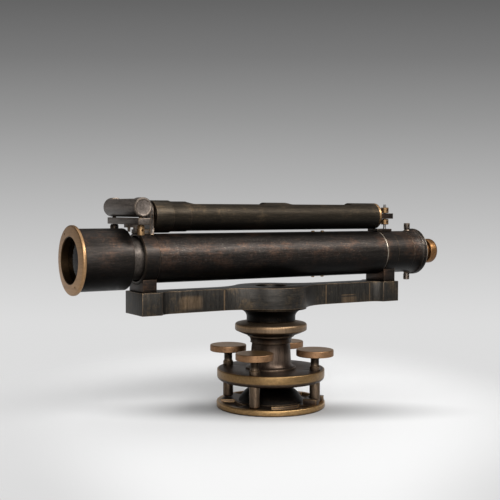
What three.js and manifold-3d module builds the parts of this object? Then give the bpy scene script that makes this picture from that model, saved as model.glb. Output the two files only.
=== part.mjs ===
// A four-screw dumpy level: a telescope fixed on a stage bar that turns on a tapered spindle,
// over two parallel plates joined by a ball and set level with four milled screws.
// Millimetres, +Z up. +X runs along the telescope from the objective end to the eyepiece.
// The origin is on the vertical axis, at the underside of the lower plate.

import * as THREE from "three";
import { mergeVertices } from "three/addons/utils/BufferGeometryUtils.js";
import Module from "manifold-3d";

const wasm = await Module();
wasm.setup();

// Fits and facets
const fitGap = 0.3;
const cutOverrun = 3;
const plateSides = 36;
const tubeSides = 24;
const screwSides = 12;
const holeSides = 8;
const arcSteps = 3;
const lensSteps = 2;
const fullTurn = 2 * Math.PI;
const quarterTurn = Math.PI / 2;

// Lower parallel plate and its ball socket
const lowerPlateRadius = 47.5;
const lowerPlateThickness = 5.3;
const lowerPlateEdge = 1;
const pocketDepth = 2.4;
const pocketWidth = 12;
const rimWidth = 4;
const pocketInnerRadius = lowerPlateRadius - rimWidth - pocketWidth;
const pocketSweepAngle = 0.84;
const ballRadius = 14.5;
const ballLift = 0.1;
const ballCentreHeight = 5.6;
const ballCutHeight = lowerPlateThickness + ballLift;
const ballNeckRadius = 8.5;
const socketMouthRadius = 11.5;
const domeInset = 19.1;
const domeBaseRadius = lowerPlateRadius - domeInset;
const tripodBoreLedge = 7.9;
const tripodBoreRadius = domeBaseRadius - tripodBoreLedge;
const domeHeight = 15.6;
const domeMouthDrop = 2;
const domeBulgeShare = 0.13;

// Upper parallel plate and column
const plateGap = 18.1;
const upperPlateInset = 0.4;
const upperPlateRadius = lowerPlateRadius - upperPlateInset;
const upperPlateThickness = 10.1;
const upperPlateLowerRound = 4;
const upperPlateUpperEdge = 1;
const tiltSwing = 0.6;
const columnHeight = 29.1;
const columnFootRadius = 22;
const columnFootHeight = 1.5;
const columnFootFlare = 5;
const columnLowerRadius = 17.7;
const columnWaistRadius = 16.6;
const columnShoulderRadius = 18;
const columnShoulderDrop = 6;
const columnCollarRadius = 20.4;
const columnCollarHeight = 0.8;
const columnCoveHeight = 4.6;
const columnSpigotRadius = 14;
const columnSpigotLength = 8.5;

// Brass bearing flange on top of the column
const flangeRadius = 31.7;
const flangeThickness = 12.2;
const flangeSkirtRadius = 26.8;
const flangeSkirtHeight = 2.5;
const flangeLipRadius = 30;
const flangeLipHeight = 4;
const flangeRound = 2.2;
const flangeBrowRadius = 29.2;
const flangeBrowDrop = 1.8;
const flangeCrownRadius = 22.5;
const columnTopRadius = 15;

// Levelling screws
const screwInset = 6.8;
const screwCircleRadius = upperPlateRadius - screwInset;
const screwLineAngle = THREE.MathUtils.degToRad(37.6);
const screwCount = 4;
const screwStemRadius = 4.5;
const screwThreadRadius = 4.2;
const screwWaistRadius = 3.7;
const screwFootRound = 1.6;
const screwShoulderHeight = 4;
const screwCapRadius = 5.6;
const screwCapHeight = 2.2;
const screwTenonRadius = 3;
const screwTenonLength = 3;
const screwHeadLift = 18.4;
const screwHeadThickness = 5.6;
const screwHeadRoom = 2.2;
const screwHeadRadius = screwCircleRadius - columnFootRadius - screwHeadRoom;
const screwHeadEdge = 0.7;

// Stop block round one screw's foot
const stopBlockLength = 23;
const stopBlockDepth = 14;
const stopBlockHeight = 5;
const stopSlotGap = 1.4;

// Stage bar, its neck and the spindle
const stageThickness = 18.3;
const padOuterX = 130.7;
const padLength = 15.9;
const padInnerX = padOuterX - padLength;
const padHalfWidth = 16.25;
const armHalfWidth = 9.65;
const padArcReach = 12.8;
const bossRadius = 32;
const bossArcStartX = 52.5;
const bossBoreRadius = 13.9;
const bossBoreDepth = 12.5;
const limbNeckHeight = 12.3;
const neckTopRadius = 31;
const neckLipHeight = 1.4;
const neckRadius = 21.3;
const neckStraightHeight = 4;
const spindleRadius = 11;
const spindleTipRadius = 7;
const spindleHeadHeight = 4.5;
const spindleThreadRadius = 4;
const spindleThreadLength = 7;
const spindleNutRadius = 8.5;
const spindleNutHeight = 4.6;
const spindleCounterboreRadius = 10.5;
const spindleShoulderLift = 2.1;

// Telescope body, set on the stage bar's pads
const collarFootHeight = 26.65;
const mainTubeRadius = 20;
const mainTubeWall = 1.4;
const collarLength = 13;
const footInset = 2;
const footHalfWidth = 13.2;
const footShoulderDrop = 13;
const leftCollarRadius = 21;
const leftFootFrontX = -padOuterX + footInset;
const mainTubeOverhang = 0.9;
const mainTubeFrontX = leftFootFrontX - mainTubeOverhang;
const leftCollarRearX = mainTubeFrontX + collarLength;
const rightFootLength = 12.9;
const rightCollarRadius = 20.2;
const rightCollarRearX = padOuterX - footInset;
const rightFootFrontX = rightCollarRearX - rightFootLength;
const mainTubeLap = 0.2;
const mainTubeRearX = rightFootFrontX + mainTubeLap;
const collarSpigotLength = 9;
const eyeTubeRadius = 19.5;
const eyeTubeWall = 1.8;
const eyeTubeLength = 18.5;
const eyeTubeRearX = rightCollarRearX + fitGap + eyeTubeLength;

// Eye-end cap, reticle ring and eyepiece
const eyeCapRadius = 21.7;
const eyeCapFlareLength = 10.5;
const eyeCapRoundLength = 3.2;
const eyeCapEdge = 1.2;
const eyeCapFlareX = eyeTubeRearX + eyeCapFlareLength;
const eyeCapRoundX = eyeCapFlareX + eyeCapRoundLength;
const eyeCapRearX = eyeCapRoundX + eyeCapEdge;
const eyeCapWall = 3.6;
const eyeCapEndWall = 2.4;
const eyeBossRadius = 11.6;
const eyeBossLength = 2.6;
const eyeBossRearX = eyeCapRearX + eyeBossLength;
const reticleInset = 6.9;
const reticleX = eyeTubeRearX + reticleInset;
const reticleRadius = 12.5;
const reticleBoreRadius = 7;
const reticleThickness = 4;
const reticleTravel = 1;
const reticleShankRadius = 1.2;
const reticleShankDepth = 2.6;
const reticleHeadRadius = 2.9;
const reticleHeadTop = 26.9;
const reticleHeadWaist = 0.5;
const tommyHoleRadius = 1;
const eyepieceRadius = 9.8;
const eyepieceFrontX = eyeCapRearX - eyeCapEndWall;
const eyepieceNeckLength = 8.3;
const eyepieceFlangeRadius = 10.4;
const eyepieceFlangeLength = 3.2;
const eyepieceFlangeFrontX = eyepieceFrontX + eyepieceNeckLength;
const eyepieceFlangeRearX = eyepieceFlangeFrontX + eyepieceFlangeLength;
const eyepieceLength = 24.8;
const eyepieceEndX = eyepieceFrontX + eyepieceLength;
const eyepieceRimLength = 9.4;
const eyepieceRimFrontX = eyepieceEndX - eyepieceRimLength;
const eyepieceRimRadius = 11.65;
const eyepieceRimEdge = 1.5;
const eyepieceFaceRadius = 9;
const eyepieceBoreRadius = 8;
const eyeHoleRadius = 3.6;
const eyeHoleDepth = 3;
const eyeLensThickness = 3;
const fieldLensThickness = 3.2;
const fieldLensInset = 2;
const lensBulgeShare = 0.4;

// Objective head and draw tube
const barrelRadius = 24.6;
const barrelLength = 40.5;
const barrelNeckLength = 10.6;
const barrelRearX = mainTubeFrontX - barrelNeckLength;
const barrelFrontX = barrelRearX - barrelLength;
const barrelRearEdge = 0.6;
const barrelRearWall = 2.4;
const cellRadius = 20.1;
const cellDepth = 13;
const barrelBoreRadius = 18.6;
const ringRadius = 27.35;
const ringThickness = 3.8;
const ringDish = 0.9;
const ringRearX = barrelFrontX - fitGap;
const ringFrontX = ringRearX - ringThickness;
const ringOuterFrontX = ringFrontX + ringDish;
const ringBoreRadius = 18.2;
const ringBead = 0.8;
const ringSpigotLength = 2;
const spannerHoleRadius = 0.9;
const spannerHoleDepth = 1.4;
const spannerHoleCircle = 22.9;
const spannerHoleAngle = THREE.MathUtils.degToRad(62);
const crownEdgeThickness = 2.4;
const crownBulge = 1.8;
const flintEdgeThickness = 3;
const drawTubeRadius = 17.1;
const drawTubeWall = 1.4;
const drawTubeEntry = 5.8;
const drawTubeFrontX = barrelRearX - drawTubeEntry;
const drawTubeStepX = -75;
const drawTubeRearRadius = 13.5;
const drawTubeRearX = 95;
const frontBushLength = 17;
const frontBushInset = 6;
const rearBushFrontX = 41;
const rearBushLength = 17.5;

// Rack, pinion and focusing knob on the far side
const rackFrontX = 25;
const rackLength = 47;
const rackHalfHeight = 2;
const rackRootY = 13.2;
const rackFaceY = 15.7;
const rackToothDepth = 1.1;
const toothFlankShare = 0.22;
const toothTipShare = 0.18;
const pinionTeeth = 12;
const pinionPitchRadius = 3;
const pinionX = 30;
const pinionShaftRadius = 1.8;
const pinionBoxRadius = 8;
const pinionBoxY = 26.5;
const pinionBoxEdge = 1;
const knobRadius = 11;
const knobThickness = 8;
const knobEdge = 0.8;
const knobNeckRadius = 5;
const knobNeckLength = 2;
const knobBoreDepth = 5;

// Small screws that hold the rear bush
const bushScrewSpacing = 10.3;
const bushScrewX = 49.6;
const bushScrewHeadRadius = 1.6;
const bushScrewHeadHeight = 0.9;
const bushScrewShankRadius = 0.9;
const bushScrewDepth = 3;

// Main level above the telescope
const levelHeight = 33.75;
const levelTubeRadius = 11.9;
const levelTubeWall = 1.5;
const levelTubeInset = 0.4;
const levelTubeFrontX = leftCollarRearX + levelTubeInset;
const levelTubeRearX = 112;
const levelFerruleRadius = 13.2;
const levelFerruleLength = 15.8;
const levelSleeveRadius = 12.4;
const levelSleeveLength = 15.9;
const levelWindowHalfWidth = 5.7;
const levelWindowEndX = 83.5;
const levelBridgeCentreX = 2.4;
const levelBridgeHalfLength = 11.4;
const levelPlugLength = 22;
const levelCupDepth = 6;
const vialRadius = 8.4;
const vialEndShare = 0.6;
const hingePinRadius = 0.8;
const hingeTongueHalfWidth = 2.7;
const hingeTongueHalfHeight = 5;
const levelEndRingLength = 2.7;
const levelTiltRoom = 1;
const tongueHalfWidth = 5;
const tongueHalfHeight = 2.5;
const tongueOverhang = 6;
const studRadius = 1.4;
const studSlack = 0.5;
const studStandOut = 2.85;
const nutRadius = 3.7;
const nutHeight = 5.2;
const studBracketTop = 21.8;
const studBracketOverhang = 1.1;
const studBracketLength = 17.4;
const studBracketRearX = rightCollarRearX + studBracketOverhang;
const studBracketFrontX = studBracketRearX - studBracketLength;
const studInset = 2.8;
const studX = studBracketRearX - studInset;
const studTop = levelHeight + tongueHalfHeight + fitGap + nutHeight + studStandOut;
const tongueEndX = studX + tongueOverhang;
const studBracketHalfWidth = 7;
const studBracketDepth = 6;
const studSocketDepth = 1.6;

// Bracket on the left collar, and the cross level
const bracketLength = 12.6;
const bracketRearX = leftCollarRearX - fitGap;
const bracketFrontX = bracketRearX - bracketLength;
const bracketHalfWidth = 7;
const saddleTop = 23.5;
const bracketShelf = 27.8;
const cheekThickness = 3.4;
const cheekHalfWidth = 8.5;
const cheekTop = 45.6;
const levelHingeX = bracketRearX - cheekThickness / 2;
const armLength = 11.5;
const armHalfY = 2;
const armThickness = 2.6;
const legLead = 2;
const legThickness = 3.8;
const legFrontX = bracketFrontX - legLead;
const armFrontX = legFrontX + legThickness - armLength;
const crossLead = 7.9;
const crossX = bracketFrontX - crossLead;
const crossY = -2.5;
const crossBarMiddleY = -2;
const crossBarHalfLength = 30.2;
const crossBarHalfWidth = 5;
const crossBarThickness = 5.2;
const crossTubeRadius = 7.7;
const crossTubeHalfLength = 30.5;
const crossTubeHeight = 41.2;
const crossTubeEdge = 0.8;
const crossWindowHalfWidth = 3.8;
const crossWindowHalfLength = 22;
const crossVialRadius = 5;
const crossVialHalfLength = 23.5;
const crossScrewReach = 25.5;
const crossShankRadius = 1.5;
const crossShankDepth = 2.6;
const nearHeadRadius = 2.9;
const nearHeadHeight = 8;
const farHeadRadius = 3.4;
const farHeadHeight = 4.2;
const holdScrewRadius = 1.2;
const holdScrewReach = 3.4;
const holdScrewOffset = 1.5;

// Heights that follow from the sizes above
const upperPlateBottom = lowerPlateThickness + plateGap;
const upperPlateTop = upperPlateBottom + upperPlateThickness;
const spindleShoulderHeight = upperPlateTop + spindleShoulderLift;
const flangeBottomHeight = upperPlateTop + columnHeight;
const columnTop = flangeBottomHeight + flangeThickness;
const screwHeadTop = upperPlateTop + screwHeadLift;
const screwHeadBottom = screwHeadTop - screwHeadThickness;
const stageBottomHeight = columnTop + fitGap + limbNeckHeight;
const stageTop = stageBottomHeight + stageThickness;
const telescopeHeight = stageTop + collarFootHeight;
const crossBarBottom = bracketShelf;
const crossBarTop = crossBarBottom + crossBarThickness;
const pinionDrop = rackHalfHeight - rackToothDepth / 2 + pinionPitchRadius;

// Turns a geometry into a solid: shared vertices merged, faces pointing out.
function solidOf(geometry) {
  const plain = geometry.clone();
  plain.deleteAttribute("normal");
  plain.deleteAttribute("uv");
  const merged = mergeVertices(plain);
  const place = merged.getAttribute("position");
  const corners = [];
  for (let i = 0; i < merged.index.count; i += 3) {
    const [a, b, c] = [0, 1, 2].map((k) => merged.index.getX(i + k));
    if (a !== b && b !== c && c !== a) corners.push(a, b, c);
  }
  const va = new THREE.Vector3();
  const vb = new THREE.Vector3();
  const vc = new THREE.Vector3();
  let volume = 0;
  for (let i = 0; i < corners.length; i += 3) {
    va.fromBufferAttribute(place, corners[i]);
    vb.fromBufferAttribute(place, corners[i + 1]);
    vc.fromBufferAttribute(place, corners[i + 2]);
    volume += va.dot(vb.cross(vc));
  }
  if (volume < 0) corners.reverse();
  return new wasm.Manifold(new wasm.Mesh({
    numProp: 3,
    vertProperties: new Float32Array(place.array),
    triVerts: new Uint32Array(corners),
  }));
}

// Makes the geometry of a solid.
function geometryOf(solid) {
  const mesh = solid.getMesh();
  const geometry = new THREE.BufferGeometry();
  geometry.setAttribute("position", new THREE.BufferAttribute(new Float32Array(mesh.vertProperties), 3));
  geometry.setIndex(new THREE.BufferAttribute(new Uint32Array(mesh.triVerts), 1));
  geometry.computeVertexNormals();
  return geometry;
}

// A turned solid on the Z axis from points of radius and height.
function turned(points, sides) {
  const outline = points.map(([radius, height]) => new THREE.Vector2(radius, height));
  outline.push(outline[0].clone());
  const geometry = new THREE.LatheGeometry(outline, sides);
  geometry.rotateX(quarterTurn);
  return solidOf(geometry);
}

// The same along the X axis, with heights read as X, and along the Y axis.
function turnedX(points, sides) {
  return turned(points, sides).rotate([0, 90, 0]);
}

function turnedY(points, sides) {
  return turned(points, sides).rotate([-90, 0, 0]);
}

// A plain round bar between two heights on the Z axis.
function bar(radius, low, high, sides) {
  return turned([[0, low], [radius, low], [radius, high], [0, high]], sides);
}

function barX(radius, low, high, sides) {
  return bar(radius, low, high, sides).rotate([0, 90, 0]);
}

function barY(radius, low, high, sides) {
  return bar(radius, low, high, sides).rotate([-90, 0, 0]);
}

// A tube along X between two places.
function tubeX(outer, inner, low, high, sides) {
  return turnedX([[inner, low], [outer, low], [outer, high], [inner, high]], sides);
}

// A block between two corners.
function block(low, high) {
  const size = high.map((value, axis) => value - low[axis]);
  const geometry = new THREE.BoxGeometry(...size);
  geometry.translate(...size.map((value, axis) => low[axis] + value / 2));
  return solidOf(geometry);
}

// Points along a round from one angle to another, as radius and height.
function roundPoints(centre, radius, from, to, steps = arcSteps) {
  const points = [];
  for (let i = 0; i <= steps; i += 1) {
    const angle = from + (to - from) * i / steps;
    points.push([centre[0] + radius * Math.cos(angle), centre[1] + radius * Math.sin(angle)]);
  }
  return points;
}

// A quarter of an ellipse that hollows in from a wide place to a narrow one.
function covePoints(wide, narrow, steps = arcSteps) {
  const points = [];
  for (let i = 0; i <= steps; i += 1) {
    const angle = quarterTurn * i / steps;
    const radius = narrow[0] + (wide[0] - narrow[0]) * (1 - Math.sin(angle));
    const height = wide[1] + (narrow[1] - wide[1]) * (1 - Math.cos(angle));
    points.push([radius, height]);
  }
  return points;
}

// Finishes
function metal(color, roughness, metalness) {
  return () => new THREE.MeshStandardMaterial({ color, roughness, metalness });
}

const bronze = metal(0x2c2723, 0.45, 0.8);
const bronzeWorn = metal(0x4a3b2c, 0.42, 0.85);
const brass = metal(0xa9793f, 0.38, 0.9);
const brassBright = metal(0xb98a4c, 0.33, 0.92);
const steel = metal(0x55524e, 0.4, 0.9);
const glass = metal(0xbfd0c4, 0.08, 0);
const spirit = metal(0xc9d8a8, 0.1, 0);

// Adds one named piece to a group.
function piece(group, name, solid, finish, place = [0, 0, 0]) {
  const mesh = new THREE.Mesh(geometryOf(solid), finish());
  mesh.name = name;
  mesh.position.set(...place);
  group.add(mesh);
  return mesh;
}

// Lower plate: a disc with a rim, four pockets between the screw seats and the tripod bore.
function lowerPlate() {
  const edge = lowerPlateEdge;
  const top = lowerPlateThickness;
  let plate = turned([
    [tripodBoreRadius, 0],
    [lowerPlateRadius - edge, 0],
    [lowerPlateRadius, edge],
    [lowerPlateRadius, top - edge],
    [lowerPlateRadius - edge, top],
    [tripodBoreRadius, top],
  ], plateSides);
  for (let i = 0; i < screwCount; i += 1) {
    const middle = (i + 0.5) * fullTurn / screwCount;
    plate = plate.subtract(pocket(middle));
  }
  return plate;
}

// One pocket of the lower plate, as a ring sector.
function pocket(middle) {
  const outline = new THREE.Shape();
  const from = middle - pocketSweepAngle / 2;
  const to = middle + pocketSweepAngle / 2;
  outline.absarc(0, 0, lowerPlateRadius - rimWidth, from, to, false);
  outline.absarc(0, 0, pocketInnerRadius, to, from, true);
  outline.closePath();
  const geometry = new THREE.ExtrudeGeometry(outline, {
    depth: pocketDepth + cutOverrun,
    bevelEnabled: false,
    curveSegments: arcSteps,
  });
  geometry.translate(0, 0, lowerPlateThickness - pocketDepth);
  return solidOf(geometry);
}

// Domed cap that holds the ball: its outside is one sphere and its socket another.
function ballSocketCap() {
  const low = lowerPlateThickness;
  const mouthTop = low + domeHeight - domeMouthDrop;
  const chord = Math.hypot(domeBaseRadius - socketMouthRadius, mouthTop - low);
  const bulge = chord * domeBulgeShare;
  const nx = (mouthTop - low) / chord;
  const nz = (domeBaseRadius - socketMouthRadius) / chord;
  const outside = [];
  for (let i = 0; i <= arcSteps + 1; i += 1) {
    const share = i / (arcSteps + 1);
    const lift = bulge * 4 * share * (1 - share);
    outside.push([
      domeBaseRadius + (socketMouthRadius - domeBaseRadius) * share + nx * lift,
      low + (mouthTop - low) * share + nz * lift,
    ]);
  }
  const socket = ballRadius + fitGap;
  const mouthAngle = Math.acos(socketMouthRadius / socket);
  const inside = roundPoints([0, ballCentreHeight], socket, mouthAngle, 0);
  return turned([...outside, ...inside, [socket, low]], tubeSides);
}

// Ball with the neck that carries the upper plate.
function halfBall() {
  const low = Math.asin((ballCutHeight - ballCentreHeight) / ballRadius);
  const high = Math.acos(ballNeckRadius / ballRadius);
  const neckTop = upperPlateBottom - fitGap - tiltSwing;
  return turned([
    [0, ballCutHeight],
    ...roundPoints([0, ballCentreHeight], ballRadius, low, high, arcSteps + 2),
    [ballNeckRadius, neckTop],
    [0, neckTop],
  ], tubeSides);
}

// U-shaped block that keeps one screw's foot from turning the plates.
function footStopBlock() {
  const low = lowerPlateThickness;
  const slot = screwStemRadius + stopSlotGap;
  const outer = screwCircleRadius + stopBlockDepth / 2;
  const inner = outer - stopBlockDepth;
  const high = low + stopBlockHeight;
  const under = low - cutOverrun;
  const over = high + cutOverrun;
  const body = block([inner, -stopBlockLength / 2, low], [outer, stopBlockLength / 2, high]);
  const rim = bar(lowerPlateRadius - lowerPlateEdge, under, over, plateSides);
  const open = block([screwCircleRadius, -slot, under], [outer + cutOverrun, slot, over]);
  const round = bar(slot, under, over, screwSides);
  return body.intersect(rim).subtract(open).subtract(round.translate([screwCircleRadius, 0, 0]));
}

// Upper plate with its centre bore and four tapped holes.
function upperPlate() {
  const low = upperPlateBottom;
  const high = upperPlateTop;
  const bore = columnSpigotRadius + fitGap;
  const round = upperPlateLowerRound;
  let plate = turned([
    [bore, low],
    ...roundPoints([upperPlateRadius - round, low + round], round, -quarterTurn, 0),
    [upperPlateRadius, high - upperPlateUpperEdge],
    [upperPlateRadius - upperPlateUpperEdge, high],
    [bore, high],
  ], plateSides);
  const hole = bar(screwStemRadius + fitGap, low - cutOverrun, high + cutOverrun, screwSides);
  for (let i = 0; i < screwCount; i += 1) {
    const angle = i * fullTurn / screwCount;
    const x = screwCircleRadius * Math.cos(angle);
    const y = screwCircleRadius * Math.sin(angle);
    plate = plate.subtract(hole.translate([x, y, 0]));
  }
  return plate;
}

// The spindle's outline at a clearance: the column's bore uses the same cone.
function spindleCone(gap) {
  return [
    [spindleTipRadius + gap, spindleShoulderHeight],
    [spindleRadius + gap, columnTop],
  ];
}

// Column: foot, waist, shoulder and collar outside, the spindle's cone and counterbore inside.
function column() {
  const foot = upperPlateTop;
  const top = flangeBottomHeight;
  const shoulder = top - columnShoulderDrop;
  const collar = top - columnCollarHeight;
  const spigotBottom = foot - columnSpigotLength;
  return turned([
    [spindleCounterboreRadius, spigotBottom],
    [columnSpigotRadius, spigotBottom],
    [columnSpigotRadius, foot],
    [columnFootRadius, foot],
    [columnFootRadius, foot + columnFootHeight],
    ...covePoints(
      [columnFootRadius - columnFootHeight / 2, foot + columnFootHeight],
      [columnLowerRadius, foot + columnFootHeight + columnFootFlare],
    ),
    [columnWaistRadius, shoulder - columnFootHeight],
    [columnShoulderRadius, shoulder],
    [columnShoulderRadius, collar - columnCoveHeight],
    [columnCollarRadius, collar],
    [columnCollarRadius, top],
    [columnTopRadius, top],
    [columnTopRadius, columnTop],
    ...spindleCone(fitGap).reverse(),
    [spindleCounterboreRadius, spindleShoulderHeight],
  ], tubeSides);
}

// Brass flange: a rounded rim with a domed top, over a sloping underside.
function bearingFlange() {
  const low = flangeBottomHeight;
  const bore = columnTopRadius + fitGap;
  return turned([
    [bore, low],
    [columnCollarRadius, low],
    [flangeSkirtRadius, low + flangeSkirtHeight],
    [flangeLipRadius, low + flangeLipHeight],
    [flangeRadius, low + flangeLipHeight + flangeRound],
    [flangeRadius, columnTop - flangeBrowDrop - flangeRound],
    [flangeBrowRadius, columnTop - flangeBrowDrop],
    [flangeCrownRadius, columnTop],
    [bore, columnTop],
  ], tubeSides);
}

// Levelling screw below its head, from its rounded foot to the tenon.
function levellingScrew() {
  const foot = lowerPlateThickness + fitGap;
  const neck = screwHeadBottom - fitGap;
  return turned([
    [0, foot],
    [screwStemRadius - screwFootRound, foot],
    [screwStemRadius, foot + screwFootRound],
    [screwStemRadius, upperPlateBottom],
    [screwThreadRadius, upperPlateBottom + screwFootRound],
    [screwThreadRadius, upperPlateTop],
    [screwStemRadius, upperPlateTop + screwFootRound],
    [screwStemRadius, upperPlateTop + screwShoulderHeight],
    [screwWaistRadius, upperPlateTop + screwShoulderHeight + screwFootRound],
    [screwWaistRadius, neck - screwCapHeight],
    [screwCapRadius, neck],
    [screwTenonRadius, neck],
    [screwTenonRadius, neck + screwTenonLength],
    [0, neck + screwTenonLength],
  ], screwSides);
}

// Flat milled head of a levelling screw, with a blind bore for the tenon.
function screwHead() {
  const low = screwHeadBottom;
  const high = screwHeadTop;
  const edge = screwHeadEdge;
  const bore = screwTenonRadius + fitGap;
  const boreTop = low + screwTenonLength;
  return turned([
    [bore, low],
    [screwHeadRadius - edge, low],
    [screwHeadRadius, low + edge],
    [screwHeadRadius, high - edge],
    [screwHeadRadius - edge, high],
    [0, high],
    [0, boreTop],
    [bore, boreTop],
  ], tubeSides);
}

// Stage bar: pads at the ends, straight arms and a round boss, joined by hollow arcs.
function stageBar() {
  const outline = new THREE.Shape();
  const along = bossArcStartX ** 2 + armHalfWidth ** 2 - bossRadius ** 2;
  const bossArcRadius = along / (2 * (bossRadius - armHalfWidth));
  const centreY = armHalfWidth + bossArcRadius;
  const touch = Math.atan2(centreY, bossArcStartX);
  const padCentreX = padInnerX - padArcReach;
  const padCentreY = armHalfWidth + padArcReach;
  const padAngle = Math.asin((padCentreY - padHalfWidth) / padArcReach);
  const padEdgeX = padCentreX + padArcReach * Math.cos(padAngle);
  outline.moveTo(padOuterX, -padHalfWidth);
  outline.lineTo(padOuterX, padHalfWidth);
  outline.lineTo(padEdgeX, padHalfWidth);
  outline.absarc(padCentreX, padCentreY, padArcReach, -padAngle, -quarterTurn, true);
  outline.lineTo(bossArcStartX, armHalfWidth);
  outline.absarc(bossArcStartX, centreY, bossArcRadius, -quarterTurn, touch - Math.PI, true);
  outline.absarc(0, 0, bossRadius, touch, Math.PI - touch, false);
  outline.absarc(-bossArcStartX, centreY, bossArcRadius, -touch, -quarterTurn, true);
  outline.lineTo(-padCentreX, armHalfWidth);
  outline.absarc(-padCentreX, padCentreY, padArcReach, -quarterTurn, padAngle - Math.PI, true);
  outline.lineTo(-padOuterX, padHalfWidth);
  outline.lineTo(-padOuterX, -padHalfWidth);
  outline.lineTo(-padEdgeX, -padHalfWidth);
  outline.absarc(-padCentreX, -padCentreY, padArcReach, Math.PI - padAngle, quarterTurn, true);
  outline.lineTo(-bossArcStartX, -armHalfWidth);
  outline.absarc(-bossArcStartX, -centreY, bossArcRadius, quarterTurn, touch, true);
  outline.absarc(0, 0, bossRadius, touch + Math.PI, fullTurn - touch, false);
  outline.absarc(bossArcStartX, -centreY, bossArcRadius, Math.PI - touch, quarterTurn, true);
  outline.lineTo(padCentreX, -armHalfWidth);
  outline.absarc(padCentreX, -padCentreY, padArcReach, quarterTurn, padAngle, true);
  outline.closePath();
  const geometry = new THREE.ExtrudeGeometry(outline, {
    depth: stageThickness,
    bevelEnabled: false,
    curveSegments: 2 * arcSteps + 1,
  });
  geometry.translate(0, 0, stageBottomHeight);
  const shelf = stageTop - bossBoreDepth;
  const narrow = bar(spindleRadius + fitGap, stageBottomHeight - cutOverrun, shelf + cutOverrun, tubeSides);
  const wide = bar(bossBoreRadius, shelf, stageTop + cutOverrun, tubeSides);
  return solidOf(geometry).subtract(narrow).subtract(wide);
}

// Trumpet-shaped neck under the stage bar's boss.
function limbNeck() {
  const low = columnTop + fitGap;
  const high = stageBottomHeight;
  const bore = spindleRadius + fitGap;
  return turned([
    [bore, low],
    [neckRadius, low],
    [neckRadius, low + neckStraightHeight],
    ...covePoints([neckTopRadius, high - neckLipHeight], [neckRadius, low + neckStraightHeight]).reverse(),
    [neckTopRadius, high],
    [bore, high],
  ], tubeSides);
}

// Tapered spindle: head in the boss, cone in the column, thread for the nut.
function spindle() {
  const shelf = stageTop - bossBoreDepth;
  const headRadius = bossBoreRadius - fitGap;
  const [tip, shoulder] = spindleCone(0);
  return turned([
    [0, spindleShoulderHeight - spindleThreadLength],
    [spindleThreadRadius, spindleShoulderHeight - spindleThreadLength],
    [spindleThreadRadius, spindleShoulderHeight],
    tip,
    shoulder,
    [spindleRadius, shelf],
    [headRadius, shelf],
    [headRadius, shelf + spindleHeadHeight],
    [0, shelf + spindleHeadHeight],
  ], tubeSides);
}

// Nut and washer that hold the spindle up in the column.
function spindleNut() {
  const high = spindleShoulderHeight - fitGap;
  const low = high - spindleNutHeight;
  const bore = spindleThreadRadius + fitGap;
  return turned([[bore, low], [spindleNutRadius, low], [spindleNutRadius, high], [bore, high]], screwSides);
}

// Collars with their feet. Places from here on are on the telescope's axis.
function leftCollar() {
  const rear = leftCollarRearX;
  const ring = barX(leftCollarRadius, mainTubeFrontX, rear, tubeSides);
  const foot = block(
    [leftFootFrontX, -footHalfWidth, -collarFootHeight],
    [rear, footHalfWidth, -footShoulderDrop],
  );
  const bore = barX(mainTubeRadius + fitGap, mainTubeFrontX - cutOverrun, rear + cutOverrun, tubeSides);
  return foot.add(ring).subtract(bore);
}

function rightCollar() {
  const front = mainTubeRearX + fitGap;
  const foot = block(
    [rightFootFrontX, -footHalfWidth, -collarFootHeight],
    [rightCollarRearX, footHalfWidth, -footShoulderDrop],
  );
  const saddle = barX(mainTubeRadius + fitGap, rightFootFrontX - cutOverrun, front, tubeSides);
  const outside = turnedX([
    [0, front - collarSpigotLength],
    [mainTubeRadius - mainTubeWall - fitGap, front - collarSpigotLength],
    [mainTubeRadius - mainTubeWall - fitGap, front],
    [rightCollarRadius, front],
    [rightCollarRadius, rightCollarRearX],
    [eyeTubeRadius - eyeTubeWall - fitGap, rightCollarRearX],
    [eyeTubeRadius - eyeTubeWall - fitGap, rightCollarRearX + collarSpigotLength],
    [0, rightCollarRearX + collarSpigotLength],
  ], tubeSides);
  const boreRadius = eyeTubeRadius - 2 * eyeTubeWall - fitGap;
  const bore = barX(
    boreRadius,
    front - collarSpigotLength - cutOverrun,
    rightCollarRearX + collarSpigotLength + cutOverrun,
    tubeSides,
  );
  return foot.subtract(saddle).add(outside).subtract(bore);
}

// Main tube with the pinion's hole and the bush screws' holes.
function mainTube() {
  const inner = mainTubeRadius - mainTubeWall;
  const tube = tubeX(mainTubeRadius, inner, mainTubeFrontX, mainTubeRearX, tubeSides);
  const shaft = barY(pinionShaftRadius + fitGap, inner / 2, mainTubeRadius + cutOverrun, screwSides);
  let cut = tube.subtract(shaft.translate([pinionX, 0, -pinionDrop]));
  for (const { x, side } of bushScrewPlaces()) {
    const hole = bar(bushScrewShankRadius + fitGap, inner / 2, mainTubeRadius + cutOverrun, holeSides);
    cut = cut.subtract(hole.rotate([side > 0 ? 0 : 180, 0, 0]).translate([x, 0, 0]));
  }
  return cut;
}

// Two screws above and two below hold the rear bush.
function bushScrewPlaces() {
  const places = [];
  for (const side of [1, -1]) {
    for (const end of [-0.5, 0.5]) {
      places.push({ x: bushScrewX + end * bushScrewSpacing, side });
    }
  }
  return places;
}

function bushScrew() {
  const seat = mainTubeRadius;
  return turned([
    [0, seat - bushScrewDepth],
    [bushScrewShankRadius, seat - bushScrewDepth],
    [bushScrewShankRadius, seat],
    [bushScrewHeadRadius, seat],
    [bushScrewHeadRadius, seat + bushScrewHeadHeight],
    [0, seat + bushScrewHeadHeight],
  ], holeSides);
}

function frontSlideBush() {
  const outer = mainTubeRadius - mainTubeWall - fitGap;
  const front = mainTubeFrontX + frontBushInset;
  return tubeX(outer, drawTubeRadius + fitGap, front, front + frontBushLength, tubeSides);
}

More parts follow.
